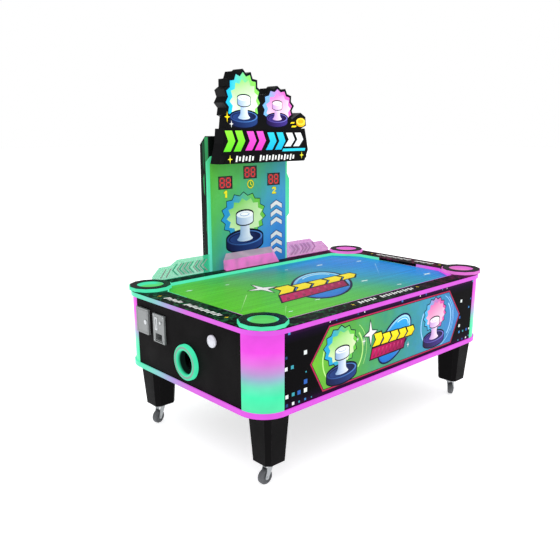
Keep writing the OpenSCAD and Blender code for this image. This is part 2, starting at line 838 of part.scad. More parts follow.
module power_inlet() {
    y1 = table_y + panel_y;
    color("#18191b") difference() {
        union() {
            block(inlet_x - 20, inlet_x + 20, y1, y1 + 4, inlet_z - 20, inlet_z + 46);
            block(inlet_x - 14, inlet_x + 14, y1 - 26, y1 + 1, inlet_z - 13, inlet_z + 39);
        }
        block(inlet_x - 12, inlet_x + 12, y1 - 18, y1 + 5, inlet_z - 9, inlet_z + 9);
        block(inlet_x - 9.5, inlet_x + 9.5, y1 - 14, y1 + 5, inlet_z + 16.5, inlet_z + 37.5);
    }
    for (x = [-7, 0, 7]) color("silver")
        block(inlet_x + x - 1, inlet_x + x + 1, y1 - 18, y1 - 4, inlet_z - 2.5, inlet_z + 2.5);
}

// Rocker, tipped about an axis along X
rocker_z = inlet_z + 27;
rocker_y = table_y + panel_y - 3;
rocker_tip = 7;
module power_switch() {
    color("#a01818") translate([inlet_x, rocker_y, rocker_z]) rotate([rocker_tip, 0, 0])
        rotate([90, 0, 90]) translate([0, 0, -8]) linear_extrude(16)
            polygon([[-5, -5], [5, -9], [4, 0], [5, 9], [-5, 5]]);
}

// Power supply and control board, screwed to the cabinet's floor
module electronics() {
    color("#6f8f7a") at_table() {
        block(300, 470, -150, -50, panel_bottom, panel_bottom + 48);
        block(300, 460, 40, 160, panel_bottom, panel_bottom + 10);
        block(320, 350, 60, 100, panel_bottom + 10, panel_bottom + 28);
        block(380, 440, 80, 140, panel_bottom + 10, panel_bottom + 22);
    }
}

// Leg bolts, the tower cover's screws, and the coin door's fixed hinge leaf with its pin
module fixings() {
    z_mid = (door_z0 + door_z1) / 2;
    gap = 0.3;
    color("#c2c5c7") cover_screws() {
        cylinder(r = 4, h = screw_head_h, $fn = 24);
        cylinder(r = 2, h = 20, $fn = 24);
    }
    color("#c2c5c7") at_table() {
        leg_bolts() {
            translate([0, 0, -40]) cylinder(r = 4, h = bottom_strip_h + 44);
            translate([0, 0, bottom_strip_h]) cylinder(d = 15, h = 6, $fn = 6);
        }
        difference() {
            block(-panel_x - 1.4, -panel_x, 341, 346.8, door_z0, door_z1);
            block(-panel_x - 2, 1 - panel_x, 340, 348, z_mid - knuckle_h / 2 - gap, z_mid + knuckle_h / 2 + gap);
        }
        for (z = [[door_z0, z_mid - knuckle_h / 2 - gap], [z_mid + knuckle_h / 2 + gap, door_z1]])
            translate([hinge_x, hinge_y, z[0]]) cylinder(r = hinge_r, h = z[1] - z[0]);
        translate([hinge_x, hinge_y, door_z0]) cylinder(r = 1.5, h = door_z1 - door_z0);
    }
}

floor_panel();
front_panel();
back_panel();
left_end_panel();
right_end_panel();
corner_posts();
corner_light_fl();
corner_light_fr();
corner_light_bl();
corner_light_br();
top_light_strip();
bottom_light_strip();
rail_front();
rail_back();
rail_left();
rail_right();
inner_light_strip();
corner_rings();
ring_lights();
playfield();
plenum_tray();
blower_housing();
blower_motor();
blower_impeller();
puck_chutes();
puck_port_rings();
coin_door();
coin_lock();
cash_box();
coin_acceptor();
coin_return_button();
start_button();
start_button_bezel();
leg_fl();
leg_fr();
leg_bl();
leg_br();
castor_plates();
castor_fork_fl();
castor_fork_fr();
castor_fork_bl();
castor_fork_br();
castor_wheel_fl();
castor_wheel_fr();
castor_wheel_bl();
castor_wheel_br();
tower_case();
tower_back_cover();
tower_front_panel();
tower_edge_light();
header_sign();
mounting_brackets();
tower_shelf();
score_displays();
side_guard_left();
side_guard_right();
power_inlet();
power_switch();
electronics();
fixings();
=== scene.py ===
import math

import bmesh
import bpy
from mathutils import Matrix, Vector


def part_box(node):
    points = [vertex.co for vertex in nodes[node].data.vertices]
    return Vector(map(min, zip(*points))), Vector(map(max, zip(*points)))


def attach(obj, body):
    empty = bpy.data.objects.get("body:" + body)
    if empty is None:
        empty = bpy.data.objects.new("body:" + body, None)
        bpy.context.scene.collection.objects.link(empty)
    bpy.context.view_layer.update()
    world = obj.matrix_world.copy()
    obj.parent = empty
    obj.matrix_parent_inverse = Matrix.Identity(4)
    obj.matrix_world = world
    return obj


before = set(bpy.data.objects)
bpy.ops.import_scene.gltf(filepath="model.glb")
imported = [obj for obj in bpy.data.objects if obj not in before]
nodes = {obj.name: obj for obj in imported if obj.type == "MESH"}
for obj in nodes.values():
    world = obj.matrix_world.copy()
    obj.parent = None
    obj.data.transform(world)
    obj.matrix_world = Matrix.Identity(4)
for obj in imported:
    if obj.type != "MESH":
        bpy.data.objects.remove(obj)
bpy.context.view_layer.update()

# ---- Camera, floor and studio light ----
# A camera at about a person's chest, off the coin end's front corner, looking slightly down.
# The floor is a plain pale sheet in a bright, even room with two soft lamps. Shiny faces mirror that
# room dimmer than it is, so black boards stay black.
eye = (-2.138, -2.091, 1.320)
look_down = 14.77
turn = -43.07
camera_data = bpy.data.cameras.new("camera")
camera_data.lens = 42.05
camera_data.shift_y = 0.036
camera = bpy.data.objects.new("camera", camera_data)
camera.location = eye
camera.rotation_euler = (math.radians(90 - look_down), 0, math.radians(turn))
bpy.context.collection.objects.link(camera)
bpy.context.scene.camera = camera
bpy.context.scene.view_settings.view_transform = "Standard"

world = bpy.data.worlds.new("room")
world.use_nodes = True
room = world.node_tree.nodes["Background"]
room.inputs["Color"].default_value = (1, 1, 1, 1)
mirrored = world.node_tree.nodes.new("ShaderNodeLightPath")
dimmed = world.node_tree.nodes.new("ShaderNodeMapRange")
dimmed.inputs["To Min"].default_value = 1.0
dimmed.inputs["To Max"].default_value = 0.3
world.node_tree.links.new(mirrored.outputs["Is Glossy Ray"], dimmed.inputs["Value"])
world.node_tree.links.new(dimmed.outputs["Result"], room.inputs["Strength"])
bpy.context.scene.world = world


def soft_lamp(name, place, aim, size, power):
    """A square soft lamp at a place, turned to face a point."""
    data = bpy.data.lights.new(name, "AREA")
    data.size = size
    data.energy = power
    lamp = bpy.data.objects.new(name, data)
    lamp.location = place
    lamp.rotation_euler = (Vector(aim) - Vector(place)).to_track_quat("-Z", "Y").to_euler()
    bpy.context.collection.objects.link(lamp)


soft_lamp("key_lamp", (-3.2, -2.2, 4.2), (0, 0, 0.6), 2.6, 60)
soft_lamp("back_lamp", (2.6, 2.8, 3.2), (0, 0, 0.7), 2.2, 16)


def principled(name, **sockets):
    """A material with one Principled shader, whose own sockets are set by name."""
    made = bpy.data.materials.new(name)
    made.use_nodes = True
    shader = made.node_tree.nodes["Principled BSDF"]
    for socket, value in sockets.items():
        shader.inputs[socket.replace("_", " ")].default_value = value
    return made, made.node_tree, shader


def rgb(code):
    """Linear colour of a hex code such as #5cf5c0."""
    parts = [int(code[i:i + 2], 16) / 255 for i in (1, 3, 5)]
    return (*[p / 12.92 if p <= 0.04045 else ((p + 0.055) / 1.055) ** 2.4 for p in parts], 1)


floor_mesh = bpy.data.meshes.new("floor")
floor_half = 40
floor_mesh.from_pydata([(x, y, 0) for x, y in ((-1, -1), (1, -1), (1, 1), (-1, 1))], [], [(0, 1, 2, 3)])
floor = bpy.data.objects.new("floor", floor_mesh)
floor.scale = (floor_half, floor_half, 1)
bpy.context.collection.objects.link(floor)
floor_paint, _, _ = principled("pale_floor", Base_Color=rgb("#e6e6e8"), Roughness=0.9, Specular_IOR_Level=0.1,
    Emission_Color=(1, 1, 1, 1), Emission_Strength=0.58)
floor_mesh.materials.append(floor_paint)

# ---- Cabinet boards ----
# Black laminated particle board, cut to size, glued and screwed to the corner posts.
# The laminate has a fine pebbled skin, and its edges carry a painted highlight in a lighter colour.


def add(tree, kind, inputs=None, **settings):
    """A shader node; its inputs are plain values or the sockets that feed them."""
    made = tree.nodes.new("ShaderNode" + kind)
    for key, value in settings.items():
        setattr(made, key, value)
    for key, value in (inputs or {}).items():
        if isinstance(value, bpy.types.NodeSocket):
            tree.links.new(value, made.inputs[key])
        else:
            made.inputs[key].default_value = value
    return made


def ramp(tree, position, stops, interpolation="LINEAR"):
    """Colour of a position along given stops, each (place, hex code)."""
    made = add(tree, "ValToRGB", {"Fac": position})
    band = made.color_ramp
    band.interpolation = interpolation
    while len(band.elements) < len(stops):
        band.elements.new(0.5)
    for element, (place, code) in zip(band.elements, stops):
        element.position = place
        element.color = rgb(code)
    return made.outputs["Color"]


def local(tree):
    """The place of a point on an object at rest, in the row frame's metres."""
    return add(tree, "TexCoord").outputs["Object"]


def span(tree, value, low, high, first=0.0, last=1.0):
    """A value's way from low to high, as a value from first to last."""
    return add(tree, "MapRange", {"Value": value, "From Min": low, "From Max": high, "To Min": first,
        "To Max": last}).outputs["Result"]


def measure(tree, axis, low, high):
    """0 at low and 1 at high along an axis of the row frame, in metres."""
    return span(tree, add(tree, "SeparateXYZ", {"Vector": local(tree)}).outputs[axis], low, high)


def noise(tree, place, scale, detail=2.0, roughness=0.5, distortion=0.0):
    """Soft noise about 0.5."""
    return add(tree, "TexNoise", {"Vector": place, "Scale": scale, "Detail": detail, "Roughness": roughness,
        "Distortion": distortion}).outputs["Fac"]


def calc(tree, operation, *values):
    """One operation on plain values or sockets."""
    return add(tree, "Math", dict(enumerate(values)), operation=operation).outputs[0]


def scaled(tree, colour, factor):
    """A colour, brighter or darker by a factor."""
    return add(tree, "VectorMath", {0: colour, "Scale": factor}, operation="SCALE").outputs["Vector"]


def mixed(tree, factor, first, second):
    """One colour blended into another; each is a socket or a hex code."""
    made = add(tree, "Mix", {"Factor": factor}, data_type="RGBA")
    for key, colour in (("A", first), ("B", second)):
        if isinstance(colour, str):
            made.inputs[key].default_value = rgb(colour)
        else:
            tree.links.new(colour, made.inputs[key])
    return made.outputs["Result"]


def group(name, inputs, outputs):
    """A new shader node group with float inputs and typed outputs; returns it with its two end nodes."""
    tree = bpy.data.node_groups.new(name, "ShaderNodeTree")
    for label, value in inputs:
        kind = "NodeSocketColor" if isinstance(value, tuple) else "NodeSocketFloat"
        tree.interface.new_socket(label, in_out="INPUT", socket_type=kind).default_value = value
    for label, kind in outputs:
        tree.interface.new_socket(label, in_out="OUTPUT", socket_type="NodeSocket" + kind)
    return tree, tree.nodes.new("NodeGroupInput").outputs, tree.nodes.new("NodeGroupOutput")


def use(tree, shared, inputs):
    """Places a shared group in a material's tree."""
    return add(tree, "Group", inputs, node_tree=shared).outputs


def lay_on(tree, face, shader):
    """Gives a shader the colour, gloss and bumps of a shared group."""
    for output, socket in (("Color", "Base Color"), ("Roughness", "Roughness"), ("Normal", "Normal")):
        tree.links.new(face[output], shader.inputs[socket])


# Pebbled skin: a colour with soft blotches, an uneven gloss and small bumps.
skin, skin_in, skin_out = group("pebbled_skin",
    [("Color", (0.5, 0.5, 0.5, 1)), ("Grain", 900.0), ("Blotch", 0.25), ("Gloss", 0.5), ("Depth", 0.0002)],
    [("Color", "Color"), ("Roughness", "Float"), ("Normal", "Vector")])
clouds = noise(skin, local(skin), 7.0, 5.0, 0.6)
shade = span(skin, clouds, 0.3, 0.7, 1.0, calc(skin, "SUBTRACT", 1.0, skin_in["Blotch"]))
skin.links.new(scaled(skin, skin_in["Color"], shade), skin_out.inputs["Color"])
uneven = calc(skin, "MULTIPLY_ADD", calc(skin, "SUBTRACT", clouds, 0.5), 0.35, skin_in["Gloss"])
skin.links.new(uneven, skin_out.inputs["Roughness"])
pebbles = noise(skin, local(skin), skin_in["Grain"])
bumps = add(skin, "Bump", {"Height": pebbles, "Distance": skin_in["Depth"], "Strength": 1.0})
skin.links.new(bumps.outputs["Normal"], skin_out.inputs["Normal"])

# Painted edge highlight: 1 on a sharp edge within a width, broken up by noise, and 0 on the flats.
edge_glint, edge_glint_in, edge_glint_out = group("painted_edge_highlights", [("Width", 0.002), ("Amount", 0.6)], [("Mask", "Float")])
rounded = add(edge_glint, "Bevel", {"Radius": edge_glint_in["Width"]}, samples=4).outputs["Normal"]
facing = add(edge_glint, "VectorMath", {0: rounded, 1: add(edge_glint, "NewGeometry").outputs["Normal"]},
    operation="DOT_PRODUCT").outputs["Value"]
patchiness = span(edge_glint, noise(edge_glint, local(edge_glint), 60.0, 4.0), 0.4, 0.65)
glinting = calc(edge_glint, "MULTIPLY", span(edge_glint, facing, 0.995, 0.9), patchiness)
edge_glint.links.new(calc(edge_glint, "MULTIPLY", glinting, edge_glint_in["Amount"]), edge_glint_out.inputs["Mask"])


def coated(name, colour, glint_to, grain=900.0, blotch=0.25, gloss=0.5, depth=0.0002, amount=0.5, width=0.002,
        **sockets):
    """A pebbled or painted skin of one colour, with a painted highlight of another colour on its sharp edges.
    """
    made, tree, shader = principled(name, **sockets)
    base = use(tree, skin, {"Color": rgb(colour), "Grain": grain, "Blotch": blotch, "Gloss": gloss,
        "Depth": depth})
    lay_on(tree, base, shader)
    mask = use(tree, edge_glint, {"Width": width, "Amount": amount})["Mask"]
    # The lighter colour on the sharp edges is a painted edge highlight.
    tree.links.new(mixed(tree, mask, base["Color"], glint_to), shader.inputs["Base Color"])
    return made


def dress(material, *names):
    """Gives CAD nodes their finish."""
    for name in names:
        for place in nodes[name].material_slots:
            place.material = material


laminate = coated("cabinet_laminate", "#0d0b0c", "#4a484c", gloss=0.6, Specular_IOR_Level=0.05)
dress(laminate, "floor_panel", "back_panel", "left_end_panel", "right_end_panel")

plywood, tree, shader = principled("post_plywood", Specular_IOR_Level=0.3)
plies = add(tree, "TexWave", {"Vector": local(tree), "Scale": 28.0, "Distortion": 2.5, "Detail": 3.0},
    wave_type="BANDS", bands_direction="DIAGONAL").outputs["Fac"]
tree.links.new(ramp(tree, plies, [(0.0, "#8d6a3c"), (0.5, "#b8935e"), (1.0, "#d3b27c")]),
    shader.inputs["Base Color"])
tree.links.new(span(tree, plies, 0, 1, 0.55, 0.8), shader.inputs["Roughness"])
dress(plywood, "corner_posts")

# ---- Printed front panel ----
# The same board faced with a printed vinyl: black, with loose squares, and a six-sided picture of two
# strikers and a slanted emblem. Each ink is laid on as a thin film of its own.
BLACK, WHITE, CRIMSON, YELLOW = "#0b0a0d", "#f4f4f2", "#c8285a", "#ffe11c"
mm = 0.001


def oval(x, z, rx, rz, tilt=0.0, start=0.0, end=360.0, steps=40):
    """Points round an ellipse, or along an arc of one, with its first axis tilted."""
    whole = end - start >= 360
    turns = [math.radians(start + (end - start) * k / (steps if whole else steps - 1)) for k in range(steps)]
    c, s = math.cos(math.radians(tilt)), math.sin(math.radians(tilt))
    return [(x + rx * math.cos(a) * c - rz * math.sin(a) * s, z + rx * math.cos(a) * s + rz * math.sin(a) * c)
        for a in turns]


def arc_band(x, z, rx, rz, width, start, end, tilt=0.0):
    """A curved stroke of one width along part of an ellipse."""
    outer = oval(x, z, rx, rz, tilt, start, end)
    return outer + oval(x, z, rx - width, rz - width, tilt, start, end)[::-1]


def star(x, z, rx, rz, points=4, valley=0.22, tilt=0.0):
    """A pointed star; its valleys lie at a share of its radius."""
    made = []
    for k in range(2 * points):
        a = math.pi * k / points + math.radians(90 + tilt)
        f = 1 if k % 2 == 0 else valley
        made.append((x + rx * f * math.cos(a), z + rz * f * math.sin(a)))
    return made


def slab(x0, x1, z0, z1, lean=0.0, rise=0.0):
    """A four-sided block whose top leans to the right and whose right side is raised."""
    return [(x0, z0), (x1, z0 + rise), (x1 + lean, z1 + rise), (x0 + lean, z1)]


def inset(points, distance):
    """A convex outline, drawn in by a distance; its points run anticlockwise."""
    made = []
    for k in range(len(points)):
        (ax, az), (bx, bz), (cx, cz) = points[k - 1], points[k], points[(k + 1) % len(points)]
        one, two = Vector((bx - ax, bz - az)).normalized(), Vector((cx - bx, cz - bz)).normalized()
        in_one, in_two = Vector((-one.y, one.x)), Vector((-two.y, two.x))
        middle = (in_one + in_two).normalized()
        reach = distance / middle.dot(in_one)
        made.append((bx + middle.x * reach, bz + middle.y * reach))
    return made


def body_made(name, built, body, material):
    """Turns a finished bmesh into a piece that rides on a body."""
    bmesh.ops.recalc_face_normals(built, faces=built.faces)
    mesh = bpy.data.meshes.new(name)
    built.to_mesh(mesh)
    built.free()
    mesh.materials.append(material)
    made = bpy.data.objects.new(name, mesh)
    bpy.context.collection.objects.link(made)
    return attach(made, body)


def prism(built, top_places, low_places):
    """Adds a closed flat piece between two outlines; returns its two rings of points and its faces."""
    top = [built.verts.new(place) for place in top_places]
    low = [built.verts.new(place) for place in low_places]
    faces = [built.faces.new(top), built.faces.new(low[::-1])]
    for k in range(len(top)):
        faces.append(built.faces.new((top[k - 1], low[k - 1], low[k], top[k])))
    return top, low, faces


def printed(name, place, shapes, material, film=0.03):
    """Thin ink films on the cabinet, one over another. A shape is (outline in mm, hex code) or
    (outline, hex code, hex code, from point, to point) for a blend. place(u, v, h) gives metres."""
    first_film, underside = 0.15, 0.02
    built = bmesh.new()
    ink = built.loops.layers.float_color.new("ink")
    for level, (outline, first, *blend) in enumerate(shapes):
        height = first_film + film * (level + 1)
        top, low, faces = prism(built, [place(u, v, height) for u, v in outline],
            [place(u, v, underside) for u, v in outline])
        one = two = Vector(rgb(first))
        shares = [0] * len(outline)
        if blend:
            two, (fx, fz), (tx, tz) = Vector(rgb(blend[0])), blend[1], blend[2]
            length = (tx - fx) ** 2 + (tz - fz) ** 2
            shares = [min(1, max(0, ((u - fx) * (tx - fx) + (v - fz) * (tz - fz)) / length))
                for u, v in outline]
        tint = {}
        for k, share in enumerate(shares):
            tint[top[k]] = tint[low[k]] = one.lerp(two, share)
        for face in faces:
            for loop in face.loops:
                loop[ink] = tint[loop.vert]
    return body_made(name, built, "cabinet", material)


def inked(name, glow=0.0):
    """Printed vinyl: the film's own ink, a little uneven, under a satin laminate."""
    made, tree, shader = principled(name, Specular_IOR_Level=0.06, Emission_Strength=glow)
    colour = add(tree, "Attribute", attribute_name="ink").outputs["Color"]
    base = use(tree, skin, {"Color": colour, "Grain": 500.0, "Blotch": 0.12, "Gloss": 0.38, "Depth": 0.00005})
    lay_on(tree, base, shader)
    tree.links.new(base["Color"], shader.inputs["Emission Color"])
    return made


vinyl = inked("printed_vinyl")


def splash(x, z, rx, rz, rays, left, right, heart):
    """A burst of paint in two inks, with a dark edge and a pale heart."""
    valley = 0.86
    return [
        (star(x, z, rx, rz, rays, valley), "#0d1a30"),
        (star(x, z, rx - 5, rz - 5, rays, valley), left, right, (x - 0.5 * rx, z),
            (x + 0.45 * rx, z + 0.2 * rz)),
        (star(x + 0.06 * rx, z - 0.04 * rz, 0.8 * rx, 0.78 * rz, rays - 2, 0.82, 9), right, heart,
            (x - 0.2 * rx, z + 0.75 * rz), (x + 0.1 * rx, z - 0.1 * rz)),
    ]


def striker(x, z, width, knob, body):
    """A player's striker: a broad ringed base and a stepped knob with a flat top. It stands at z."""
    w = width

    def drum(low, high, rx, rz):
        """The side of an upright drum, seen a little from above."""
        front = oval(x, z + low * w, rx * w, rz * w, 0, 180, 360, 20)
        return front + oval(x, z + high * w, rx * w, rz * w, 0, 0, 180, 20)

    side = [(x + (0.13 + 0.09 * (1 - t) ** 2) * w, z + (0.29 + 0.15 * t) * w)
        for t in (0, 0.25, 0.5, 0.75, 1)]
    side.append((x + 0.13 * w, z + 0.68 * w))
    column = side + [(2 * x - u, v) for u, v in side[::-1]]
    left, right = (x - 0.4 * w, z), (x + 0.4 * w, z)
    return [
        (drum(0.16, 0.33, 0.53, 0.18), "#0a0f26"),
        (drum(0.17, 0.31, 0.5, 0.155), body[0], body[1], left, right),
        (oval(x, z + 0.31 * w, 0.5 * w, 0.155 * w), body[1], body[2], left, right),
        (oval(x, z + 0.315 * w, 0.45 * w, 0.13 * w), body[0]),
        (oval(x, z + 0.305 * w, 0.42 * w, 0.115 * w), body[1], body[0], left, right),
        (oval(x, z + 0.29 * w, 0.22 * w, 0.055 * w), knob[0], knob[1], (x - 0.15 * w, z), (x + 0.1 * w, z)),
        (column, knob[0], knob[1], (x - 0.15 * w, z), (x + 0.1 * w, z)),
        (drum(0.66, 0.84, 0.25, 0.09), "#0a0f26"),
        (drum(0.67, 0.82, 0.23, 0.075), knob[0], knob[1], (x - 0.2 * w, z), (x + 0.12 * w, z)),
        (oval(x, z + 0.82 * w, 0.23 * w, 0.075 * w), knob[1], knob[2], (x - 0.2 * w, z), (x + 0.2 * w, z)),
        (oval(x, z + 0.82 * w, 0.13 * w, 0.04 * w), knob[0]),
        (oval(x, z + 0.825 * w, 0.11 * w, 0.03 * w), knob[2]),
    ]


def speed_arrow(x, z, wide, tall, point, lean=0.0):
    """A chevron that points right, from its lower left corner."""
    return [(x, z), (x + wide, z), (x + wide + point + lean / 2, z + tall / 2), (x + wide + lean, z + tall),
        (x + lean, z + tall), (x + point + lean / 2, z + tall / 2)]


def emblem(x, z, width, disc=(124, 70, 38)):
    """The slanted emblem: a disc, a run of yellow arrows, and a crimson bar with slashes under it."""
    s = width / 300
    rx, rz, tilt = disc
    cx, cz = x + 16 * s, z - 16 * s
    shapes = []
    for edge, ink, low_ink in ((8, "#0a1a4a", "#0c1b45"), (0, "#a8e8ff", "#1a6cc8"),
            (-9, "#34b0ee", "#1c78d0")):
        shapes.append((oval(cx, cz, (rx + edge) * s, (rz + edge) * s, tilt), ink, low_ink,
            (x + 80 * s, z + 80 * s), (x, z - 90 * s)))
    shapes += [
        (arc_band(cx, cz, (rx - 14) * s, (rz - 14) * s, 5 * s, -20, 60, tilt), "#c6f2ff"),
        (slab(x - 152 * s, x + 84 * s, z - 78 * s, z - 24 * s, 14 * s, 2 * s), "#2a0718"),
        (slab(x - 145 * s, x + 79 * s, z - 72 * s, z - 29 * s, 11 * s, 2 * s), "#c40c5c", "#930b50",
            (x - 140 * s, z), (x + 80 * s, z)),
    ]
    low, high = z - 66 * s, z - 36 * s
    for k in range(8):
        x0 = x + (-128 + 26 * k) * s
        shapes.append((slab(x0, x0 + 9 * s, low, high, 8 * s), "#6e0c34", "#d23a78", (x0, low), (x0, high)))
    for edge, ink, low_ink in ((5, "#14120a", "#14120a"), (0, "#fff02a", "#ffde08")):
        for k in range(5):
            tall = (54 if k == 0 else 44 - k) * s
            x0, z0 = x + (-134 + 56 * k) * s, z + (-20 - k) * s
            outline = speed_arrow(x0 - edge * s, z0 - edge * s, (45 + 2 * edge) * s, tall + 2 * edge * s,
                16 * s, 8 * s)
            shapes.append((outline, ink, low_ink, (x0, z0 + tall), (x0, z0)))
    return shapes


def twinkle(x, z, rx, rz, tilt=5):
    """A white four-pointed star with a dark edge."""
    return [(star(x, z, 1.18 * rx, 1.15 * rz, 4, 0.32, tilt), "#141a30"),
        (star(x, z, rx, rz, 4, 0.28, tilt), WHITE)]


COOL = (("#8fb0d8", "#e6effa", "#ffffff"), ("#141c46", "#24407e", "#4d80c8"))
WARM = (("#c79ad8", "#f7e2f6", "#ffffff"), ("#221440", "#43348a", "#7a74d0"))


def on_face(name):
    """Puts marks on a piece's front: u runs right, v up and h out of the face, in millimetres."""
    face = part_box(name)[0].y
    return lambda u, v, h: (u * mm, face - h * mm, v * mm)


on_front = on_face("front_panel")
picture_edge = [(-421, 338), (459, 336), (523, 468), (424, 598), (-390, 599), (-492, 467)]
picture_field = inset(picture_edge, 9)
panel_low, panel_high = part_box("front_panel")
front_black_glow, tree, shader = principled("front_print_black_glow", Roughness=0.5, Specular_IOR_Level=0.03)
# Magenta towards the top and bottom edges: painted glow from the pink light strips above and below the board.
painted_strip_glow = ramp(tree, measure(tree, "Z", panel_low.z, panel_high.z), [(0.0, "#2e0a34"), (0.07, "#12061a"),
    (0.16, "#060507"), (0.84, "#060507"), (0.94, "#140720"), (1.0, "#380e42")])
tree.links.new(painted_strip_glow, shader.inputs["Base Color"])
dress(front_black_glow, "front_panel")

field_print, tree, shader = principled("picture_field_print", Specular_IOR_Level=0.1)
mottle = noise(tree, local(tree), 22.0, 6.0)
across = calc(tree, "MULTIPLY_ADD", mottle, 0.22, measure(tree, "X", -0.49, 0.52))
tones = ramp(tree, calc(tree, "SUBTRACT", across, 0.11), [(0.0, "#6fc02c"), (0.25, "#55ad4a"),
    (0.5, "#3c9c83"), (0.72, "#3a96b4"), (1.0, "#3b86d2")])
lay_on(tree, use(tree, skin, {"Color": tones, "Grain": 260.0, "Blotch": 0.2, "Gloss": 0.38,
    "Depth": 0.00006}), shader)

printed("front_picture_border", on_front, [
    (picture_edge, "#7c1740"), (inset(picture_edge, 2), CRIMSON), (inset(picture_edge, 6), "#2a0818")], vinyl)
built = bmesh.new()
prism(built, [on_front(u, v, 0.28) for u, v in picture_field],
    [on_front(u, v, 0.1) for u, v in picture_field])
body_made("front_picture_field", built, "cabinet", field_print)

rings = []
for cx, cz, light in ((-303, 461, "#bdf08c"), (330, 466, "#9fd4ff")):
    for radius, width, start, end in ((128, 3, -70, 62), (116, 7, -40, 40), (137, 2, -30, 50),
            (120, 6, 150, 240)):
        rings.append((arc_band(cx, cz, radius * 1.02, radius, width, start, end), light))
printed("front_picture_rings", lambda u, v, h: on_front(u, v, h + 0.2),
    [(outline, tint) for outline, tint in rings if all(345 < v < 592 for _, v in outline)], vinyl)
picture = splash(-320, 500, 103, 88, 13, "#2aa8d8", "#6fd04a", "#d8f0b8")
picture += striker(-312, 343, 172, *COOL)
picture += splash(314, 505, 92, 84, 15, "#4cb8ea", "#e45cb0", "#f8c4dc")
picture += striker(314, 350, 158, *WARM)
picture += emblem(6, 472, 296) + twinkle(-142, 514, 40, 52)
for u, v, r in ((-183, 489, 12), (-222, 507, 7), (118, 407, 9)):
    picture.append((star(u, v, r, 1.4 * r), WHITE))
printed("front_picture", lambda u, v, h: on_front(u, v, h + 0.35), picture, vinyl, film=0.02)

# Loose squares at both ends, on a square grid, and specks along the top.
BLUE, TEAL, PALE = "#2f63b8", "#3fa3b4", "#e8f0ee"
squares = [(-599, 613, 11, "#4aa0d8"), (-516, 522, 16, PALE), (-613, 523, 10, "#234a78"),
    (-583, 481, 14, TEAL), (-614, 480, 14, PALE), (-512, 445, 6, TEAL), (-514, 407, 18, BLUE),
    (-514, 373, 17, PALE), (-548, 373, 16, BLUE), (-578, 374, 14, TEAL), (-610, 372, 15, PALE),
    (-610, 338, 12, "#24477c"), (-578, 338, 12, PALE), (-547, 336, 8, TEAL), (-515, 337, 9, "#3a86c8"),
    (-482, 336, 5, TEAL)]
squares += [(529, 528, 14, PALE), (619, 612, 10, TEAL), (612, 526, 8, BLUE), (599, 486, 9, "#3a86c8"),
    (525, 407, 13, PALE), (525, 448, 12, BLUE), (528, 375, 12, "#3a86c8"), (560, 374, 9, TEAL),
    (591, 375, 12, BLUE), (614, 375, 9, PALE), (524, 335, 7, TEAL), (559, 334, 8, BLUE), (591, 334, 9, PALE),
    (614, 340, 6, TEAL)]
for x, size, ink in ((-385, 5, PALE), (-349, 6, BLUE), (-222, 9, "#234a78"), (-183, 6, PALE),
        (64, 10, "#3a7ac0"), (192, 6, PALE), (236, 8, BLUE), (363, 5, TEAL), (399, 5, PALE)):
    squares.append((x, 612, size, ink))
printed("front_squares", on_front, [(slab(x - d / 2, x + d / 2, z - d / 2, z + d / 2), ink)
    for x, z, d, ink in squares], vinyl, film=0.001)

# ---- Corner lights ----
# Quarter tubes of opal acrylic, slid in between the boards, with a strip of lamps behind each.
# The light turns from magenta at the top to mint at the foot.
MINT, PINK = "#5cf5c0", "#ed5cf0"


def opal(name, strength=0.86, base=0.08):
    """Lit opal acrylic: returns the material, its tree and a function that takes the light's colour."""
    made, tree, shader = principled(name, Specular_IOR_Level=0.15, Emission_Strength=strength)

    def shine(colour):
        """Lights the acrylic in one colour, a little unevenly."""
        clouds = noise(tree, local(tree), 14.0)
        lit = scaled(tree, colour, span(tree, clouds, 0.3, 0.7, 0.93, 1.06))
        tree.links.new(lit, shader.inputs["Emission Color"])
        tree.links.new(scaled(tree, colour, base), shader.inputs["Base Color"])
        tree.links.new(span(tree, clouds, 0, 1, 0.25, 0.42), shader.inputs["Roughness"])

    return made, tree, shine


corner_low, corner_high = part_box("corner_light_fl")
corner_opal, tree, shine = opal("corner_opal")
shine(ramp(tree, measure(tree, "Z", corner_low.z, corner_high.z), [(0.0, "#5cf5b4"), (0.2, "#46ffbb"),
    (0.33, "#70ecc4"), (0.42, "#98c4d6"), (0.51, "#c8a0e0"), (0.63, "#ee78ea"), (0.78, "#fd50f2"),
    (1.0, "#f050ea")]))
dress(corner_opal, "corner_light_fl", "corner_light_fr", "corner_light_bl", "corner_light_br")

# ---- Light strips round the cabinet ----
# Two opal extrusions bent round the whole table, screwed on over and under the boards.
# They shine pink along the front and mint along the back, and blend on both ends.
strip_opal, tree, shine = opal("strip_opal")
shine(ramp(tree, measure(tree, "Y", -0.45, 0.45), [(0.0, PINK), (0.42, "#e06ae8"), (0.56, "#b3a0e2"),
    (0.66, "#8fc8d4"), (0.8, "#60efc2"), (1.0, MINT)]))
dress(strip_opal, "top_light_strip", "bottom_light_strip")
inner_opal, tree, shine = opal("inner_strip_opal")
shine(ramp(tree, measure(tree, "Y", -0.25, 0.15), [(0.0, PINK), (0.3, "#cf88e0"), (0.55, "#7fd6cc"),
    (1.0, MINT)]))
dress(inner_opal, "inner_light_strip")

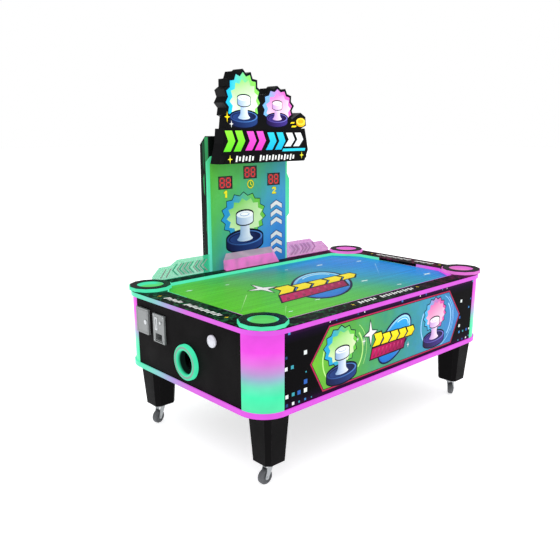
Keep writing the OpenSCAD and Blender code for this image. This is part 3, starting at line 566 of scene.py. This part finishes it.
# ---- Rails ----
# Boards faced with a printed laminate, screwed down round the playing surface; the goals are cut into
# the end rails. The print is black with torn green streaks that turn to crimson at the far end.
rail_print, tree, shader = principled("rail_laminate", Specular_IOR_Level=0.02)
stretched = add(tree, "Mapping", {"Vector": local(tree), "Scale": (1.0, 1.0, 0.2),
    "Rotation": (0, 0, 0.5)}).outputs["Vector"]
torn = span(tree, noise(tree, stretched, 26.0, 6.0, distortion=1.6), 0.5, 0.62)
fine = add(tree, "TexVoronoi", {"Vector": stretched, "Scale": 60.0}, distance="MANHATTAN").outputs["Distance"]
streak = calc(tree, "MULTIPLY", torn, span(tree, fine, 0.25, 0.55))
tint = ramp(tree, measure(tree, "X", -0.74, 0.74), [(0.0, "#1f5c38"), (0.35, "#1d5a3c"), (0.6, "#2a2a38"),
    (0.8, "#5a1338"), (1.0, "#6a1440")])
lay_on(tree, use(tree, skin, {"Color": mixed(tree, streak, "#0a0c0c", tint), "Grain": 700.0, "Blotch": 0.2,
    "Gloss": 0.36, "Depth": 0.00008}), shader)
dress(rail_print, "rail_front", "rail_back", "rail_left", "rail_right")

rail_low, rail_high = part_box("rail_front")
back_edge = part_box("rail_back")[1].y
table_middle = (rail_low.y + back_edge) / 2
half_width = (back_edge - rail_low.y) / 2 / mm
half_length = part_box("rail_right")[1].x / mm


def on_rail(side, from_edge):
    """Puts marks on one rail: u runs along it and v inwards, as its own player sees them."""
    out, along = {"front": ((0, -1), (1, 0)), "left": ((-1, 0), (0, -1)), "right": ((1, 0), (0, 1))}[side]
    reach = half_width if side == "front" else half_length

    def place(u, v, h):
        """A point on the rail's top, h millimetres above it."""
        inward = reach - from_edge - v
        x, y = out[0] * inward + along[0] * u, out[1] * inward + along[1] * u
        return (x * mm, table_middle + y * mm, rail_high.z + h * mm)
    return place


def slash_row(x, z, tall, wide, pitch, counts, lean):
    """White slanted dashes in groups; every other one is cut short."""
    made = []
    for count in counts:
        for k in range(count):
            low, high = (z, z + tall) if k % 2 == 0 else (z + 0.16 * tall, z + 0.84 * tall)
            made.append((slab(x, x + wide, low, high, lean * (high - low) / tall), WHITE))
            x += pitch
        x += 1.4 * pitch
    return made


for side in ("front", "left", "right"):
    marks = [(star(-216, 14, 10, 13), YELLOW), (star(222, 20, 10, 13), YELLOW)]
    marks += slash_row(-178, 5, 28, 10, 19, (6, 12), 9)
    printed(f"rail_marks_{side}", on_rail(side, 24), marks, vinyl, film=0.001)

# ---- Playing surface ----
# A board with a smooth printed laminate, drilled all over with small air holes 25 mm apart.
# The print runs from lime at the coin end to blue, with fine streaks and the emblem in the middle.
field_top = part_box("playfield")[1].z
surface, tree, shader = principled("playing_surface", Specular_IOR_Level=0.06)
place = local(tree)
slope = add(tree, "VectorMath", {0: place, 1: (0.72, 0.3, 0.0)}, operation="DOT_PRODUCT").outputs["Value"]
washed = noise(tree, place, 3.0, 4.0)
run = span(tree, calc(tree, "MULTIPLY_ADD", washed, 0.16, slope), -0.4, 0.4)
tones = ramp(tree, run, [(0.0, "#5cc528"), (0.3, "#58be36"), (0.48, "#4cb65a"), (0.63, "#3eaa82"),
    (0.78, "#2a9cb8"), (0.92, "#1f92d2"), (1.0, "#1a8cde")])
drawn_out = add(tree, "Mapping", {"Vector": place, "Rotation": (0, 0, 0.05), "Scale": (1.4, 42.0, 1.0)})
streaks = noise(tree, drawn_out.outputs["Vector"], 1.6, 5.0, 0.65)
toned = scaled(tree, tones, span(tree, streaks, 0.35, 0.72, 0.84, 1.22))
air_pitch, air_radius = 0.025, 0.0009
cells = add(tree, "TexVoronoi", {"Vector": place, "Scale": 1 / air_pitch, "Randomness": 0.0},
    voronoi_dimensions="2D").outputs["Distance"]
open_at = span(tree, cells, air_radius / air_pitch, 1.5 * air_radius / air_pitch)
# The air holes are painted near black: painted shade inside the holes.
tree.links.new(mixed(tree, open_at, "#10181a", toned), shader.inputs["Base Color"])
tree.links.new(span(tree, washed, 0, 1, 0.24, 0.42), shader.inputs["Roughness"])
tree.links.new(add(tree, "Bump", {"Height": open_at, "Distance": 0.0006}).outputs["Normal"],
    shader.inputs["Normal"])
dress(surface, "playfield")


def on_field(u, v, h):
    """A point on the playing surface, h millimetres above it; v is measured from the table's middle."""
    return (u * mm, table_middle + v * mm, field_top + h * mm)


def leaned(shapes, lean, rise, stretch):
    """The same shapes, stretched in depth, leaning to the right and rising towards it."""
    turned = []
    for outline, *rest in shapes:
        moved = [(u + lean * v, v * stretch + rise * u) for u, v in outline]
        turned.append((moved, *rest))
    return turned


centre = leaned(emblem(-6, -24, 560, (104, 91, 60)), 0.5, 0.03, 1.0)
centre += twinkle(-264, 62, 70, 86, -8)
printed("field_emblem", on_field, centre, vinyl, film=0.012)
lines = [(slab(-580, -576, -163, 24, 189), "#5cc040", "#c2f0a8", (-580, -163), (-391, 24)),
    (slab(-500, -497, -330, -220, 110), "#5cc040", "#b0e694", (-500, -330), (-390, -220)),
    (slab(333, 337, -120, 77, 207), "#3f9ade", "#a2d8f4", (333, -120), (540, 77))]
for x, z, size in ((297, 246, 22), (528, 175, 18), (528, -259, 26), (-219, -234, 14), (-523, 255, 16),
        (90, 280, 12), (190, -145, 22), (-430, -290, 12), (250, -300, 16), (-330, 230, 12)):
    lines.append((star(x, z, size * 1.5, size * 0.6, 4, 0.35, 20), "#dcf6f0"))
printed("field_sparkles", on_field, lines, vinyl, film=0.004)

# ---- Corner rings ----
# Lit twelve-sided blocks screwed to the rails, each with a shallow dish for a striker, and a black
# acrylic ring on top. The coin end shines mint and the far end pink.
ring_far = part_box("ring_lights")[1]
ring_opal, tree, shine = opal("ring_opal", strength=0.85)
side = ramp(tree, measure(tree, "X", -0.1, 0.1), [(0.0, "#52f0b8"), (1.0, "#f07ae0")])
dish = ramp(tree, measure(tree, "X", -0.1, 0.1), [(0.0, "#62d46a"), (1.0, "#e884cc")])
ring_inset = 93 * mm
ring_x, ring_y = ring_far.x - ring_inset, ring_far.y - table_middle - ring_inset
centred = add(tree, "VectorMath", {0: local(tree), 1: (0, table_middle, 0)}, operation="SUBTRACT")
folded = add(tree, "VectorMath", {0: centred.outputs["Vector"]}, operation="ABSOLUTE")
level = add(tree, "VectorMath", {0: folded.outputs["Vector"], 1: (1, 1, 0)}, operation="MULTIPLY")
away = add(tree, "VectorMath", {0: level.outputs["Vector"], 1: (ring_x, ring_y, 0)}, operation="DISTANCE")
shine(mixed(tree, span(tree, away.outputs["Value"], 0.0515, 0.0535), dish, side))
dress(ring_opal, "ring_lights")
gloss_black = coated("ring_acrylic", "#0a0b0b", "#2c3a36", gloss=0.22, grain=300.0, depth=0.00003, amount=0.3,
    Specular_IOR_Level=0.04)
dress(gloss_black, "corner_rings")

# ---- Puck ports and chutes ----
# A moulded opal ring round each port lights up mint when a puck comes back. Behind it, a black
# moulded box leads down from the goal.
port_low, port_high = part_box("puck_port_rings")
port_opal, tree, shine = opal("port_opal")
split = add(tree, "SeparateXYZ", {"Vector": local(tree)}).outputs
port_y, port_z = (port_low.y + port_high.y) / 2, (port_low.z + port_high.z) / 2
offset = add(tree, "CombineXYZ", {"Y": split["Y"], "Z": split["Z"]}).outputs["Vector"]
reach = add(tree, "VectorMath", {0: offset, 1: (0, port_y, port_z)}, operation="DISTANCE").outputs["Value"]
ring_light = ramp(tree, span(tree, reach, 0.049, 0.0735), [(0.0, "#3fe6ac"), (0.26, "#4cf0b6"),
    (0.38, "#84b4a4"), (0.62, "#86aca0"), (0.74, "#44e8ae"), (1.0, "#48f2b8")])
# The bore inside the panel is painted dark: painted shade down the port.
proud = span(tree, calc(tree, "ABSOLUTE", split["X"]), port_high.x - 0.016, port_high.x - 0.003)
lit_not_shaded = calc(tree, "MAXIMUM", proud, span(tree, reach, 0.0505, 0.0525))
shine(mixed(tree, lit_not_shaded, "#0c1a16", ring_light))
dress(port_opal, "puck_port_rings")
moulded = coated("chute_plastic", "#242428", "#4c4c52", gloss=0.45, grain=600.0, Specular_IOR_Level=0.35)
dress(moulded, "puck_chutes")

# ---- Air supply ----
# A light box of sealed board under the playing surface, fed by a centrifugal blower that stands on the
# cabinet's floor. The motor is cast aluminium, and the wheel inside turns on its shaft.
sealed = coated("tray_board", "#9c927c", "#c8bfa8", gloss=0.7, grain=300.0, Specular_IOR_Level=0.3)
dress(sealed, "plenum_tray")
dress(moulded, "blower_housing")
cast = coated("cast_alloy", "#8b8e91", "#c6c9cc", gloss=0.42, grain=420.0, depth=0.0003, Metallic=0.9)
dress(cast, "blower_motor", "blower_impeller")

# ---- Coin door and acceptor ----
# A pressed steel door with a cam lock hangs on a pin beside the acceptor, a steel front with a coin
# slot, a return button and a cup. The cash box stands behind the door.
brushing, brush_in, brush_out = group("brushed_steel",
    [("Color", (0.5, 0.5, 0.5, 1)), ("Gloss", 0.35), ("Stroke", 900.0)],
    [("Color", "Color"), ("Roughness", "Float"), ("Normal", "Vector")])
drawn_out = add(brushing, "VectorMath", {0: local(brushing), 1: (1.0, 1.0, 0.02)}, operation="MULTIPLY")
hairs = noise(brushing, drawn_out.outputs["Vector"], brush_in["Stroke"])
smears = noise(brushing, local(brushing), 16.0, 5.0)
toned = scaled(brushing, brush_in["Color"], span(brushing, smears, 0.3, 0.7, 0.86, 1.08))
brushing.links.new(toned, brush_out.inputs["Color"])
uneven = calc(brushing, "MULTIPLY_ADD", smears, 0.3, brush_in["Gloss"])
brushing.links.new(uneven, brush_out.inputs["Roughness"])
brushing.links.new(add(brushing, "Bump", {"Height": hairs, "Distance": 0.00006}).outputs["Normal"],
    brush_out.inputs["Normal"])


def steel(name, colour, gloss, **sockets):
    """Brushed or rolled steel of one tone."""
    made, tree, shader = principled(name, **sockets)
    lay_on(tree, use(tree, brushing, {"Color": rgb(colour), "Gloss": gloss}), shader)
    return made


door_steel = steel("coin_steel", "#8f9292", 0.3, Metallic=0.5)
bright = steel("bright_steel", "#c9ccce", 0.12, Metallic=0.9)
dress(door_steel, "coin_door", "coin_acceptor")
dress(bright, "coin_lock", "coin_return_button")
galvanised = steel("galvanised_steel", "#9da2a4", 0.35, Metallic=0.8)
dress(galvanised, "cash_box")

door_low, door_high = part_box("coin_door")
accept_low, accept_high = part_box("coin_acceptor")


def rod(built, start, end, radius, sides=20, round_end=0.0):
    """Adds a solid round bar between two points, with its far rim rounded off."""
    axis = Vector(end) - Vector(start)
    turn_to = axis.to_track_quat("Z", "Y")
    length = axis.length
    rims = [(0.0, radius), (length - round_end, radius)]
    if round_end:
        rims += [(length - 0.3 * round_end, radius - 0.3 * round_end), (length, radius - round_end)]
    turns = [2 * math.pi * k / sides for k in range(sides)]
    loops = []
    for along, r in rims:
        ring = [Vector(start) + turn_to @ Vector((r * math.cos(a), r * math.sin(a), along)) for a in turns]
        loops.append([built.verts.new(place) for place in ring])
    built.faces.new(loops[0][::-1])
    built.faces.new(loops[-1])
    for low, high in zip(loops, loops[1:]):
        for k in range(sides):
            built.faces.new((low[k - 1], low[k], high[k], high[k - 1]))


def bar(built, low, high):
    """Adds a solid square-edged block between two corners."""
    corners = [built.verts.new((x, y, z)) for x in (low[0], high[0]) for y in (low[1], high[1])
        for z in (low[2], high[2])]
    for face in ((0, 1, 3, 2), (4, 6, 7, 5), (0, 4, 5, 1), (2, 3, 7, 6), (0, 2, 6, 4), (1, 5, 7, 3)):
        built.faces.new([corners[k] for k in face])


def round_edges(piece, width, segments=2):
    """Rounds a piece's sharp edges for good."""
    edges = piece.modifiers.new("edges", "BEVEL")
    edges.width = width
    edges.segments = segments
    edges.limit_method = "ANGLE"
    edges.angle_limit = math.radians(40)
    return piece


face_x = door_low.x
built = bmesh.new()
bead = 1.8 * mm
near, far = door_low.y + 7 * mm, door_high.y - 14 * mm
low, high = door_low.z + 7 * mm, door_high.z - 7 * mm
for y0, y1, z0, z1 in ((near, far, low, low + bead), (near, far, high - bead, high),
        (near, near + bead, low, high), (far - bead, far, low, high)):
    bar(built, (face_x - 0.9 * mm, y0, z0), (face_x + 0.5 * mm, y1, z1))
round_edges(body_made("coin_door_bead", built, "coin_door", door_steel), 0.0005)

built = bmesh.new()
slot_y = table_middle + 188.7 * mm
accept_x = accept_low.x + 5 * mm
for y0, y1, z0, z1 in ((-9, -3, 508, 564), (3, 9, 508, 564), (-4, 4, 557, 564), (-4, 4, 508, 515)):
    bar(built, (accept_x - 2.2 * mm, slot_y + y0 * mm, z0 * mm),
        (accept_x + 0.4 * mm, slot_y + y1 * mm, z1 * mm))
round_edges(body_made("coin_slot_bezel", built, "cabinet", bright), 0.0006)
built = bmesh.new()
for y in (accept_low.y + 7 * mm, accept_low.y + 75 * mm):
    for z in (accept_low.z + 9 * mm, accept_high.z - 7 * mm):
        rod(built, (accept_x + 1 * mm, y, z), (accept_x - 1.6 * mm, y, z), 3.2 * mm, round_end=1.1 * mm)
body_made("acceptor_screws", built, "cabinet", bright)

# ---- Start button ----
# A pearl-white push button, lit softly from inside, in a glossy white bezel.
pearl, tree, shader = principled("button_pearl", Specular_IOR_Level=0.5, Coat_Weight=0.4, Coat_Roughness=0.08,
    Emission_Color=rgb("#eeeef6"), Emission_Strength=0.03)
lay_on(tree, use(tree, skin, {"Color": rgb("#cfd0d8"), "Grain": 200.0, "Blotch": 0.1, "Gloss": 0.2,
    "Depth": 0.00002}), shader)
dress(pearl, "start_button", "start_button_bezel")

# ---- Legs ----
# Hollow moulded legs with a fine grain, eight-sided and tapered, bolted up under the cabinet.
leg_skin = coated("leg_plastic", "#0c0b0c", "#3c3a3d", gloss=0.5, grain=700.0, depth=0.0003, amount=0.6,
    Specular_IOR_Level=0.05)
dress(leg_skin, "leg_fl", "leg_fr", "leg_bl", "leg_br")

# ---- Castors ----
# Pressed and zinc-plated forks swivel on ball races under the legs, each with a grey rubber wheel.
zinc = steel("zinc_plate", "#b4b8ba", 0.25, Metallic=0.85)
rubber = coated("castor_rubber", "#5a5c5f", "#8a8c8f", gloss=0.6, grain=500.0, depth=0.0003, amount=0.4,
    Specular_IOR_Level=0.3)
dress(zinc, "castor_plates", "fixings")
for corner in ("fl", "fr", "bl", "br"):
    dress(zinc, "castor_fork_" + corner)
    dress(rubber, "castor_wheel_" + corner)

# ---- Tower case ----
# A black laminated box that carries the scores, hung on the cabinet's back by steel brackets. Both sides have
# a painted green glow along the front edge, drawn as torn shapes, and a row of dots; a sheet with cooling
# slots closes it.
case_low, case_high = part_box("tower_case")
case_black = coated("tower_laminate", "#0d1210", "#333a37", gloss=0.45, Specular_IOR_Level=0.1)
dress(case_black, "tower_case", "tower_back_cover")
bracket_paint = coated("bracket_paint", "#55585b", "#8b8e91", gloss=0.4, grain=260.0, Metallic=0.4)
dress(bracket_paint, "mounting_brackets")

GREEN, DEEP, DARK = "#2f9155", "#1c5c3a", "#123524"
# Green light along the front edge, painted on as torn shapes: a painted glow.
painted_edge_glow = [
    ([(436, 1278), (462, 1278), (462, 1130), (454, 1092), (458, 1012), (449, 962), (436, 1004)], GREEN, DEEP,
        (450, 1278), (450, 960)),
    ([(469, 1262), (478, 1254), (478, 1150), (470, 1118)], DEEP),
    ([(470, 1110), (480, 1086), (476, 1020), (468, 1002)], GREEN),
    ([(446, 940), (462, 905), (468, 840), (456, 812), (452, 868)], DEEP),
    ([(436, 880), (444, 862), (446, 790), (436, 770)], DARK),
    ([(438, 742), (452, 716), (454, 668), (438, 648)], GREEN, DEEP, (445, 742), (445, 650)),
    ([(474, 760), (486, 742), (482, 690), (472, 676)], DARK),
]
for side, x_face, outward in (("left", case_low.x, -1), ("right", case_high.x, 1)):
    def on_side(u, v, h):
        """A point on a side of the tower, h millimetres out from it."""
        return (x_face + outward * h * mm, u * mm, v * mm)
    dots = [(oval(490, 660 + 17 * k, 1.8, 1.8, steps=10), "#7d8f88") for k in range(14)]
    printed(f"tower_side_glow_and_dots_{side}", on_side, painted_edge_glow + dots, vinyl, film=0.006)

# ---- Lit plate behind the front panel ----
# Clear mint acrylic, lit from its lower edge; it stands out all round the panel and as a fin.
edge_opal, tree, shine = opal("edge_acrylic", strength=0.72, base=0.3)
shine(ramp(tree, measure(tree, "Z", 0.64, 1.19), [(0.0, "#62d8c4"), (0.4, "#5ee6bc"), (0.8, "#52dfa4"),
    (1.0, "#48c98c")]))
dress(edge_opal, "tower_edge_light")

# ---- Tower front panel ----
# Printed acrylic: green turning to blue, with a striker, arrows for the score, and marks under the
# three displays: the two players' numbers and a clock.
tower_print, tree, shader = principled("tower_panel_print", Specular_IOR_Level=0.15, Emission_Strength=0.2)
place = local(tree)
slope = add(tree, "VectorMath", {0: place, 1: (1.35, 0.0, -0.95)}, operation="DOT_PRODUCT").outputs["Value"]
upright = add(tree, "Mapping", {"Vector": place, "Scale": (30.0, 1.0, 1.2)}).outputs["Vector"]
streaks = noise(tree, upright, 1.4, 5.0, 0.7)
run = span(tree, calc(tree, "MULTIPLY_ADD", streaks, 0.18, slope), -1.3, -0.42)
tones = ramp(tree, run, [(0.0, "#50b03a"), (0.28, "#50b45a"), (0.52, "#42a88a"), (0.7, "#3f9fb4"),
    (0.88, "#3a8fcc"), (1.0, "#3484cf")])
faced = use(tree, skin, {"Color": tones, "Grain": 400.0, "Blotch": 0.14, "Gloss": 0.32, "Depth": 0.00004})
lay_on(tree, faced, shader)
tree.links.new(faced["Color"], shader.inputs["Emission Color"])
dress(tower_print, "tower_front_panel")
on_tower = on_face("tower_front_panel")


def arrow(x, z, width, rise, thick):
    """A chevron that points up."""
    w = width / 2
    return [(x - w, z), (x, z + rise), (x + w, z), (x + w, z + thick), (x, z + rise + thick),
        (x - w, z + thick)]


arrows = []
for bottom in (829, 672):
    for k in range(3):
        arrows.append((arrow(178, bottom + 43 * k - 3, 84, 22, 27), "#1f4a8a"))
        arrows.append((arrow(178, bottom + 43 * k, 78, 20, 21), WHITE))
printed("tower_arrows", on_tower, arrows, vinyl, film=0.01)
tower_vinyl = inked("tower_vinyl", glow=0.15)
printed("tower_striker", on_tower, splash(-42, 896, 148, 120, 15, "#2a96d4", "#6cc84c", "#cdeeb4")
    + striker(-36, 712, 232, *COOL), tower_vinyl)

TAG, TAG_EDGE = "#f2ea2c", "#6b5a10"
one = [(-6, 0), (6, 0), (6, 34), (-5, 34), (-13, 26), (-13, 19), (-6, 23)]
two = [(-13, 0), (14, 0), (14, 8), (0, 8), (13, 20), (13, 29), (8, 34), (-8, 34), (-13, 28), (-13, 23),
    (-4, 23), (-4, 26), (4, 26), (4, 21), (-13, 7)]
marks = [(oval(4, 1049, 23, 23), TAG_EDGE), (oval(4, 1049, 21, 21), TAG), (oval(4, 1049, 16, 16), "#3e9a52"),
    (slab(2, 6, 1048, 1062), TAG), ([(3, 1051), (14, 1045), (12, 1041), (2, 1047)], TAG)]
for outline, x, z in ((one, -152, 992), (two, 162, 992)):
    fat = [(x + 1.12 * u, z - 2 + 1.1 * v) for u, v in outline]
    marks += [(fat, TAG_EDGE), ([(x + u, z + v) for u, v in outline], TAG)]
printed("tower_marks", on_tower, marks, tower_vinyl, film=0.02)

# ---- Score displays ----
# Red seven-segment digits behind smoked windows, two to a display, in a black frame.
smoke = coated("display_window", "#210406", "#3a1214", gloss=0.12, grain=200.0, depth=0.00001,
    Specular_IOR_Level=0.5)
dress(smoke, "score_displays")
led, tree, shader = principled("red_segments", Base_Color=rgb("#7a0a0c"), Roughness=0.3,
    Emission_Strength=1.0)
flicker = noise(tree, local(tree), 160.0)
tree.links.new(ramp(tree, flicker, [(0.3, "#a00c10"), (0.7, "#d81c20")]), shader.inputs["Emission Color"])
frame_black = coated("display_frame_plastic", "#17090a", "#3a2c2c", gloss=0.4, Specular_IOR_Level=0.3)
display_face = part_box("score_displays")[0].y
display_places = [(-155, 1064), (2, 1107), (159, 1066)]


def bar_outline(x, z, length, thick, upright):
    """A segment with pointed ends, lying or upright."""
    h, t = length / 2, thick / 2
    points = [(-h, 0), (t - h, -t), (h - t, -t), (h, 0), (h - t, t), (t - h, t)]
    return [(x + v, z + u) if upright else (x + u, z + v) for u, v in points]


built = bmesh.new()
frames = bmesh.new()
for cx, cz in display_places:
    for side in (-1, 1):
        x0 = cx + 19 * side
        segments = [bar_outline(x0, cz + dz, 22, 7, False) for dz in (-21, 0, 21)]
        segments += [bar_outline(x0 + dx, cz + dz, 19, 7, True) for dx in (-12, 12) for dz in (-10.5, 10.5)]
        for outline in segments:
            prism(built, [(u * mm, display_face - 0.6 * mm, v * mm) for u, v in outline],
                [(u * mm, display_face - 0.05 * mm, v * mm) for u, v in outline])
    for x0, x1, z0, z1 in ((-43, 43, 26, 31), (-43, 43, -31, -26), (-43, -38, -31, 31), (38, 43, -31, 31)):
        bar(frames, ((cx + x0) * mm, display_face - 2.2 * mm, (cz + z0) * mm),
            ((cx + x1) * mm, display_face + 0.5 * mm, (cz + z1) * mm))
body_made("display_segments", built, "cabinet", led)
round_edges(body_made("display_frames", frames, "cabinet", frame_black), 0.0004)

# ---- Shelf cover ----
# A folded cover of pink translucent acrylic at the tower's foot, lit from below in patches.
shelf_acrylic, tree, shader = principled("shelf_acrylic", Specular_IOR_Level=0.3, Emission_Strength=0.66)
patches = add(tree, "TexVoronoi", {"Vector": local(tree), "Scale": 24.0},
    feature="SMOOTH_F1").outputs["Distance"]
front_tint = ramp(tree, patches, [(0.15, "#f47fd6"), (0.5, "#e07cc4"), (0.75, "#a87aa8")])
# The top face is given greyer tints than the front: a painted reflection on the top face.
top_painted_reflection = ramp(tree, patches, [(0.15, "#b9a0b4"), (0.5, "#9f96a4"), (0.75, "#a78ea6")])
upward = add(tree, "SeparateXYZ", {"Vector": add(tree, "NewGeometry").outputs["Normal"]}).outputs["Z"]
patched_and_reflected = mixed(tree, span(tree, upward, 0.4, 0.6), front_tint, top_painted_reflection)
tree.links.new(patched_and_reflected, shader.inputs["Emission Color"])
tree.links.new(scaled(tree, patched_and_reflected, 0.4), shader.inputs["Base Color"])
tree.links.new(span(tree, patches, 0, 1, 0.2, 0.45), shader.inputs["Roughness"])
dress(shelf_acrylic, "tower_shelf")

# ---- Side guards ----
# Tinted clear acrylic plates that stop a flying puck, mint on the left and pink on the right, each
# slotted into the back rail and printed with bundles of chevrons.


def tinted(name, colour):
    """Clear acrylic with a tint and a faint light of its own."""
    made, tree, shader = principled(name, Specular_IOR_Level=0.3, Alpha=0.56, Emission_Strength=0.3)
    haze = use(tree, skin, {"Color": rgb(colour), "Grain": 400.0, "Blotch": 0.06, "Gloss": 0.16,
        "Depth": 0.00001})
    lay_on(tree, haze, shader)
    tree.links.new(haze["Color"], shader.inputs["Emission Color"])
    return made


dress(tinted("guard_mint", "#3fcb9c"), "side_guard_left")
dress(tinted("guard_pink", "#c55cb8"), "side_guard_right")
guard_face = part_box("side_guard_left")[0].y
for side, mirror_x, inks in (("left", 1, ("#a4b0aa", "#2fae88")), ("right", -1, ("#d9a0d2", "#b070a8"))):
    def on_guard(u, v, h):
        """A point on a guard's front face."""
        return (mirror_x * u * mm, guard_face - h * mm, v * mm)
    chevrons = []
    for bundle in range(3):
        for stripe in range(3):
            x = -545 + 92 * bundle + 27 * stripe
            for ink, dx in zip(inks, (0, 13)):
                chevrons.append(([(x + dx, 680), (x + dx + 27, 708), (x + dx + 35, 708), (x + dx + 8, 680),
                    (x + dx + 35, 652), (x + dx + 27, 652)], ink))
    keep = [shape for shape in chevrons if max(u for u, _ in shape[0]) < -268
        and (min(u for u, _ in shape[0]) > -480 or max(v for _, v in shape[0]) < 697)]
    if side == "left":
        for x in (-545, -516):
            keep.append((slab(x, x + 8, 652, 690, 30), inks[0]))
    printed(f"guard_chevrons_{side}", on_guard, keep, vinyl, film=0.003)

# ---- Header sign ----
# A black folded tray with a printed and softly lit face: two strikers in splashes over four pairs of
# speed arrows, and white slashes below. The tray's outline goes round the splashes.
sign_black = coated("sign_tray", "#0b0b0d", "#3a3a3e", gloss=0.4, grain=500.0, depth=0.0001,
    Specular_IOR_Level=0.1)
dress(sign_black, "header_sign")
sign_vinyl = inked("sign_vinyl", glow=0.3)
on_sign = on_face("header_sign")
art = splash(104, 1412, 102, 92, 13, "#7ab8f0", "#f06cca", "#ffd8ec") + striker(102, 1322, 136, *WARM)
art += splash(-112, 1444, 108, 126, 15, "#22c2ee", "#8ae860", "#e8fbe0") + striker(-108, 1318, 164, *COOL)
art += [
    (star(-208, 1368, 17, 24, 4, 0.25), YELLOW), (star(-184, 1337, 12, 16, 4, 0.25), WHITE),
    (slab(196, 226, 1322, 1330, 8), YELLOW), (slab(190, 214, 1340, 1347, 7), YELLOW),
    (oval(262, 1344, 34, 20), "#5c3d06"), (oval(262, 1341, 31, 17), "#e89a14", "#ffd22c", (230, 0), (290, 0)),
    (oval(262, 1350, 31, 17), "#ffe24a"), (oval(262, 1350, 20, 10), "#f5b81e"),
    ([(-244, 1196), (296, 1192), (305, 1212), (286, 1304), (-222, 1318)], BLACK),
]
for x0, z0, tall, ink, low_ink in ((-234, 1213, 94, "#8ef03c", "#62d82c"),
        (-104, 1216, 88, "#f05ad0", "#e83fc2"), (26, 1216, 82, "#34d4f0", "#18b8e8"),
        (150, 1230, 66, WHITE, "#e4ecf0")):
    for x in (x0, x0 + 60):
        art.append((speed_arrow(x, z0, 42, tall, 24, 10), ink, low_ink, (x0, z0 + tall), (x0, z0)))
art += [
    (slab(136, 292, 1207, 1220, 4), "#34d4f0"),
    ([(-236, 1158), (288, 1160), (306, 1178), (300, 1204), (-210, 1198)], BLACK),
    (star(-196, 1178, 15, 20, 4, 0.28), "#f4f03a"), (star(270, 1186, 14, 19, 4, 0.28), "#f4f03a"),
]
art += slash_row(-164, 1165, 28, 10, 20, (6, 12), 6)
printed("sign_print", on_sign, art, sign_vinyl, film=0.02)

# ---- Mains inlet, switch and electronics ----
# A panel inlet with a fused socket and a red rocker on the cabinet's back, and the power supply and
# control board screwed to the floor inside.
inlet_black = coated("inlet_plastic", "#151618", "#3a3c40", gloss=0.4, grain=400.0, Specular_IOR_Level=0.4)
dress(inlet_black, "power_inlet")
rocker_red = coated("rocker_plastic", "#9c1414", "#c84a40", gloss=0.3, grain=300.0, depth=0.00003,
    Coat_Weight=0.3)
dress(rocker_red, "power_switch")
board_green = coated("circuit_board", "#3f6f58", "#6c8f80", gloss=0.4, grain=140.0, blotch=0.5, Metallic=0.2)
dress(board_green, "electronics")
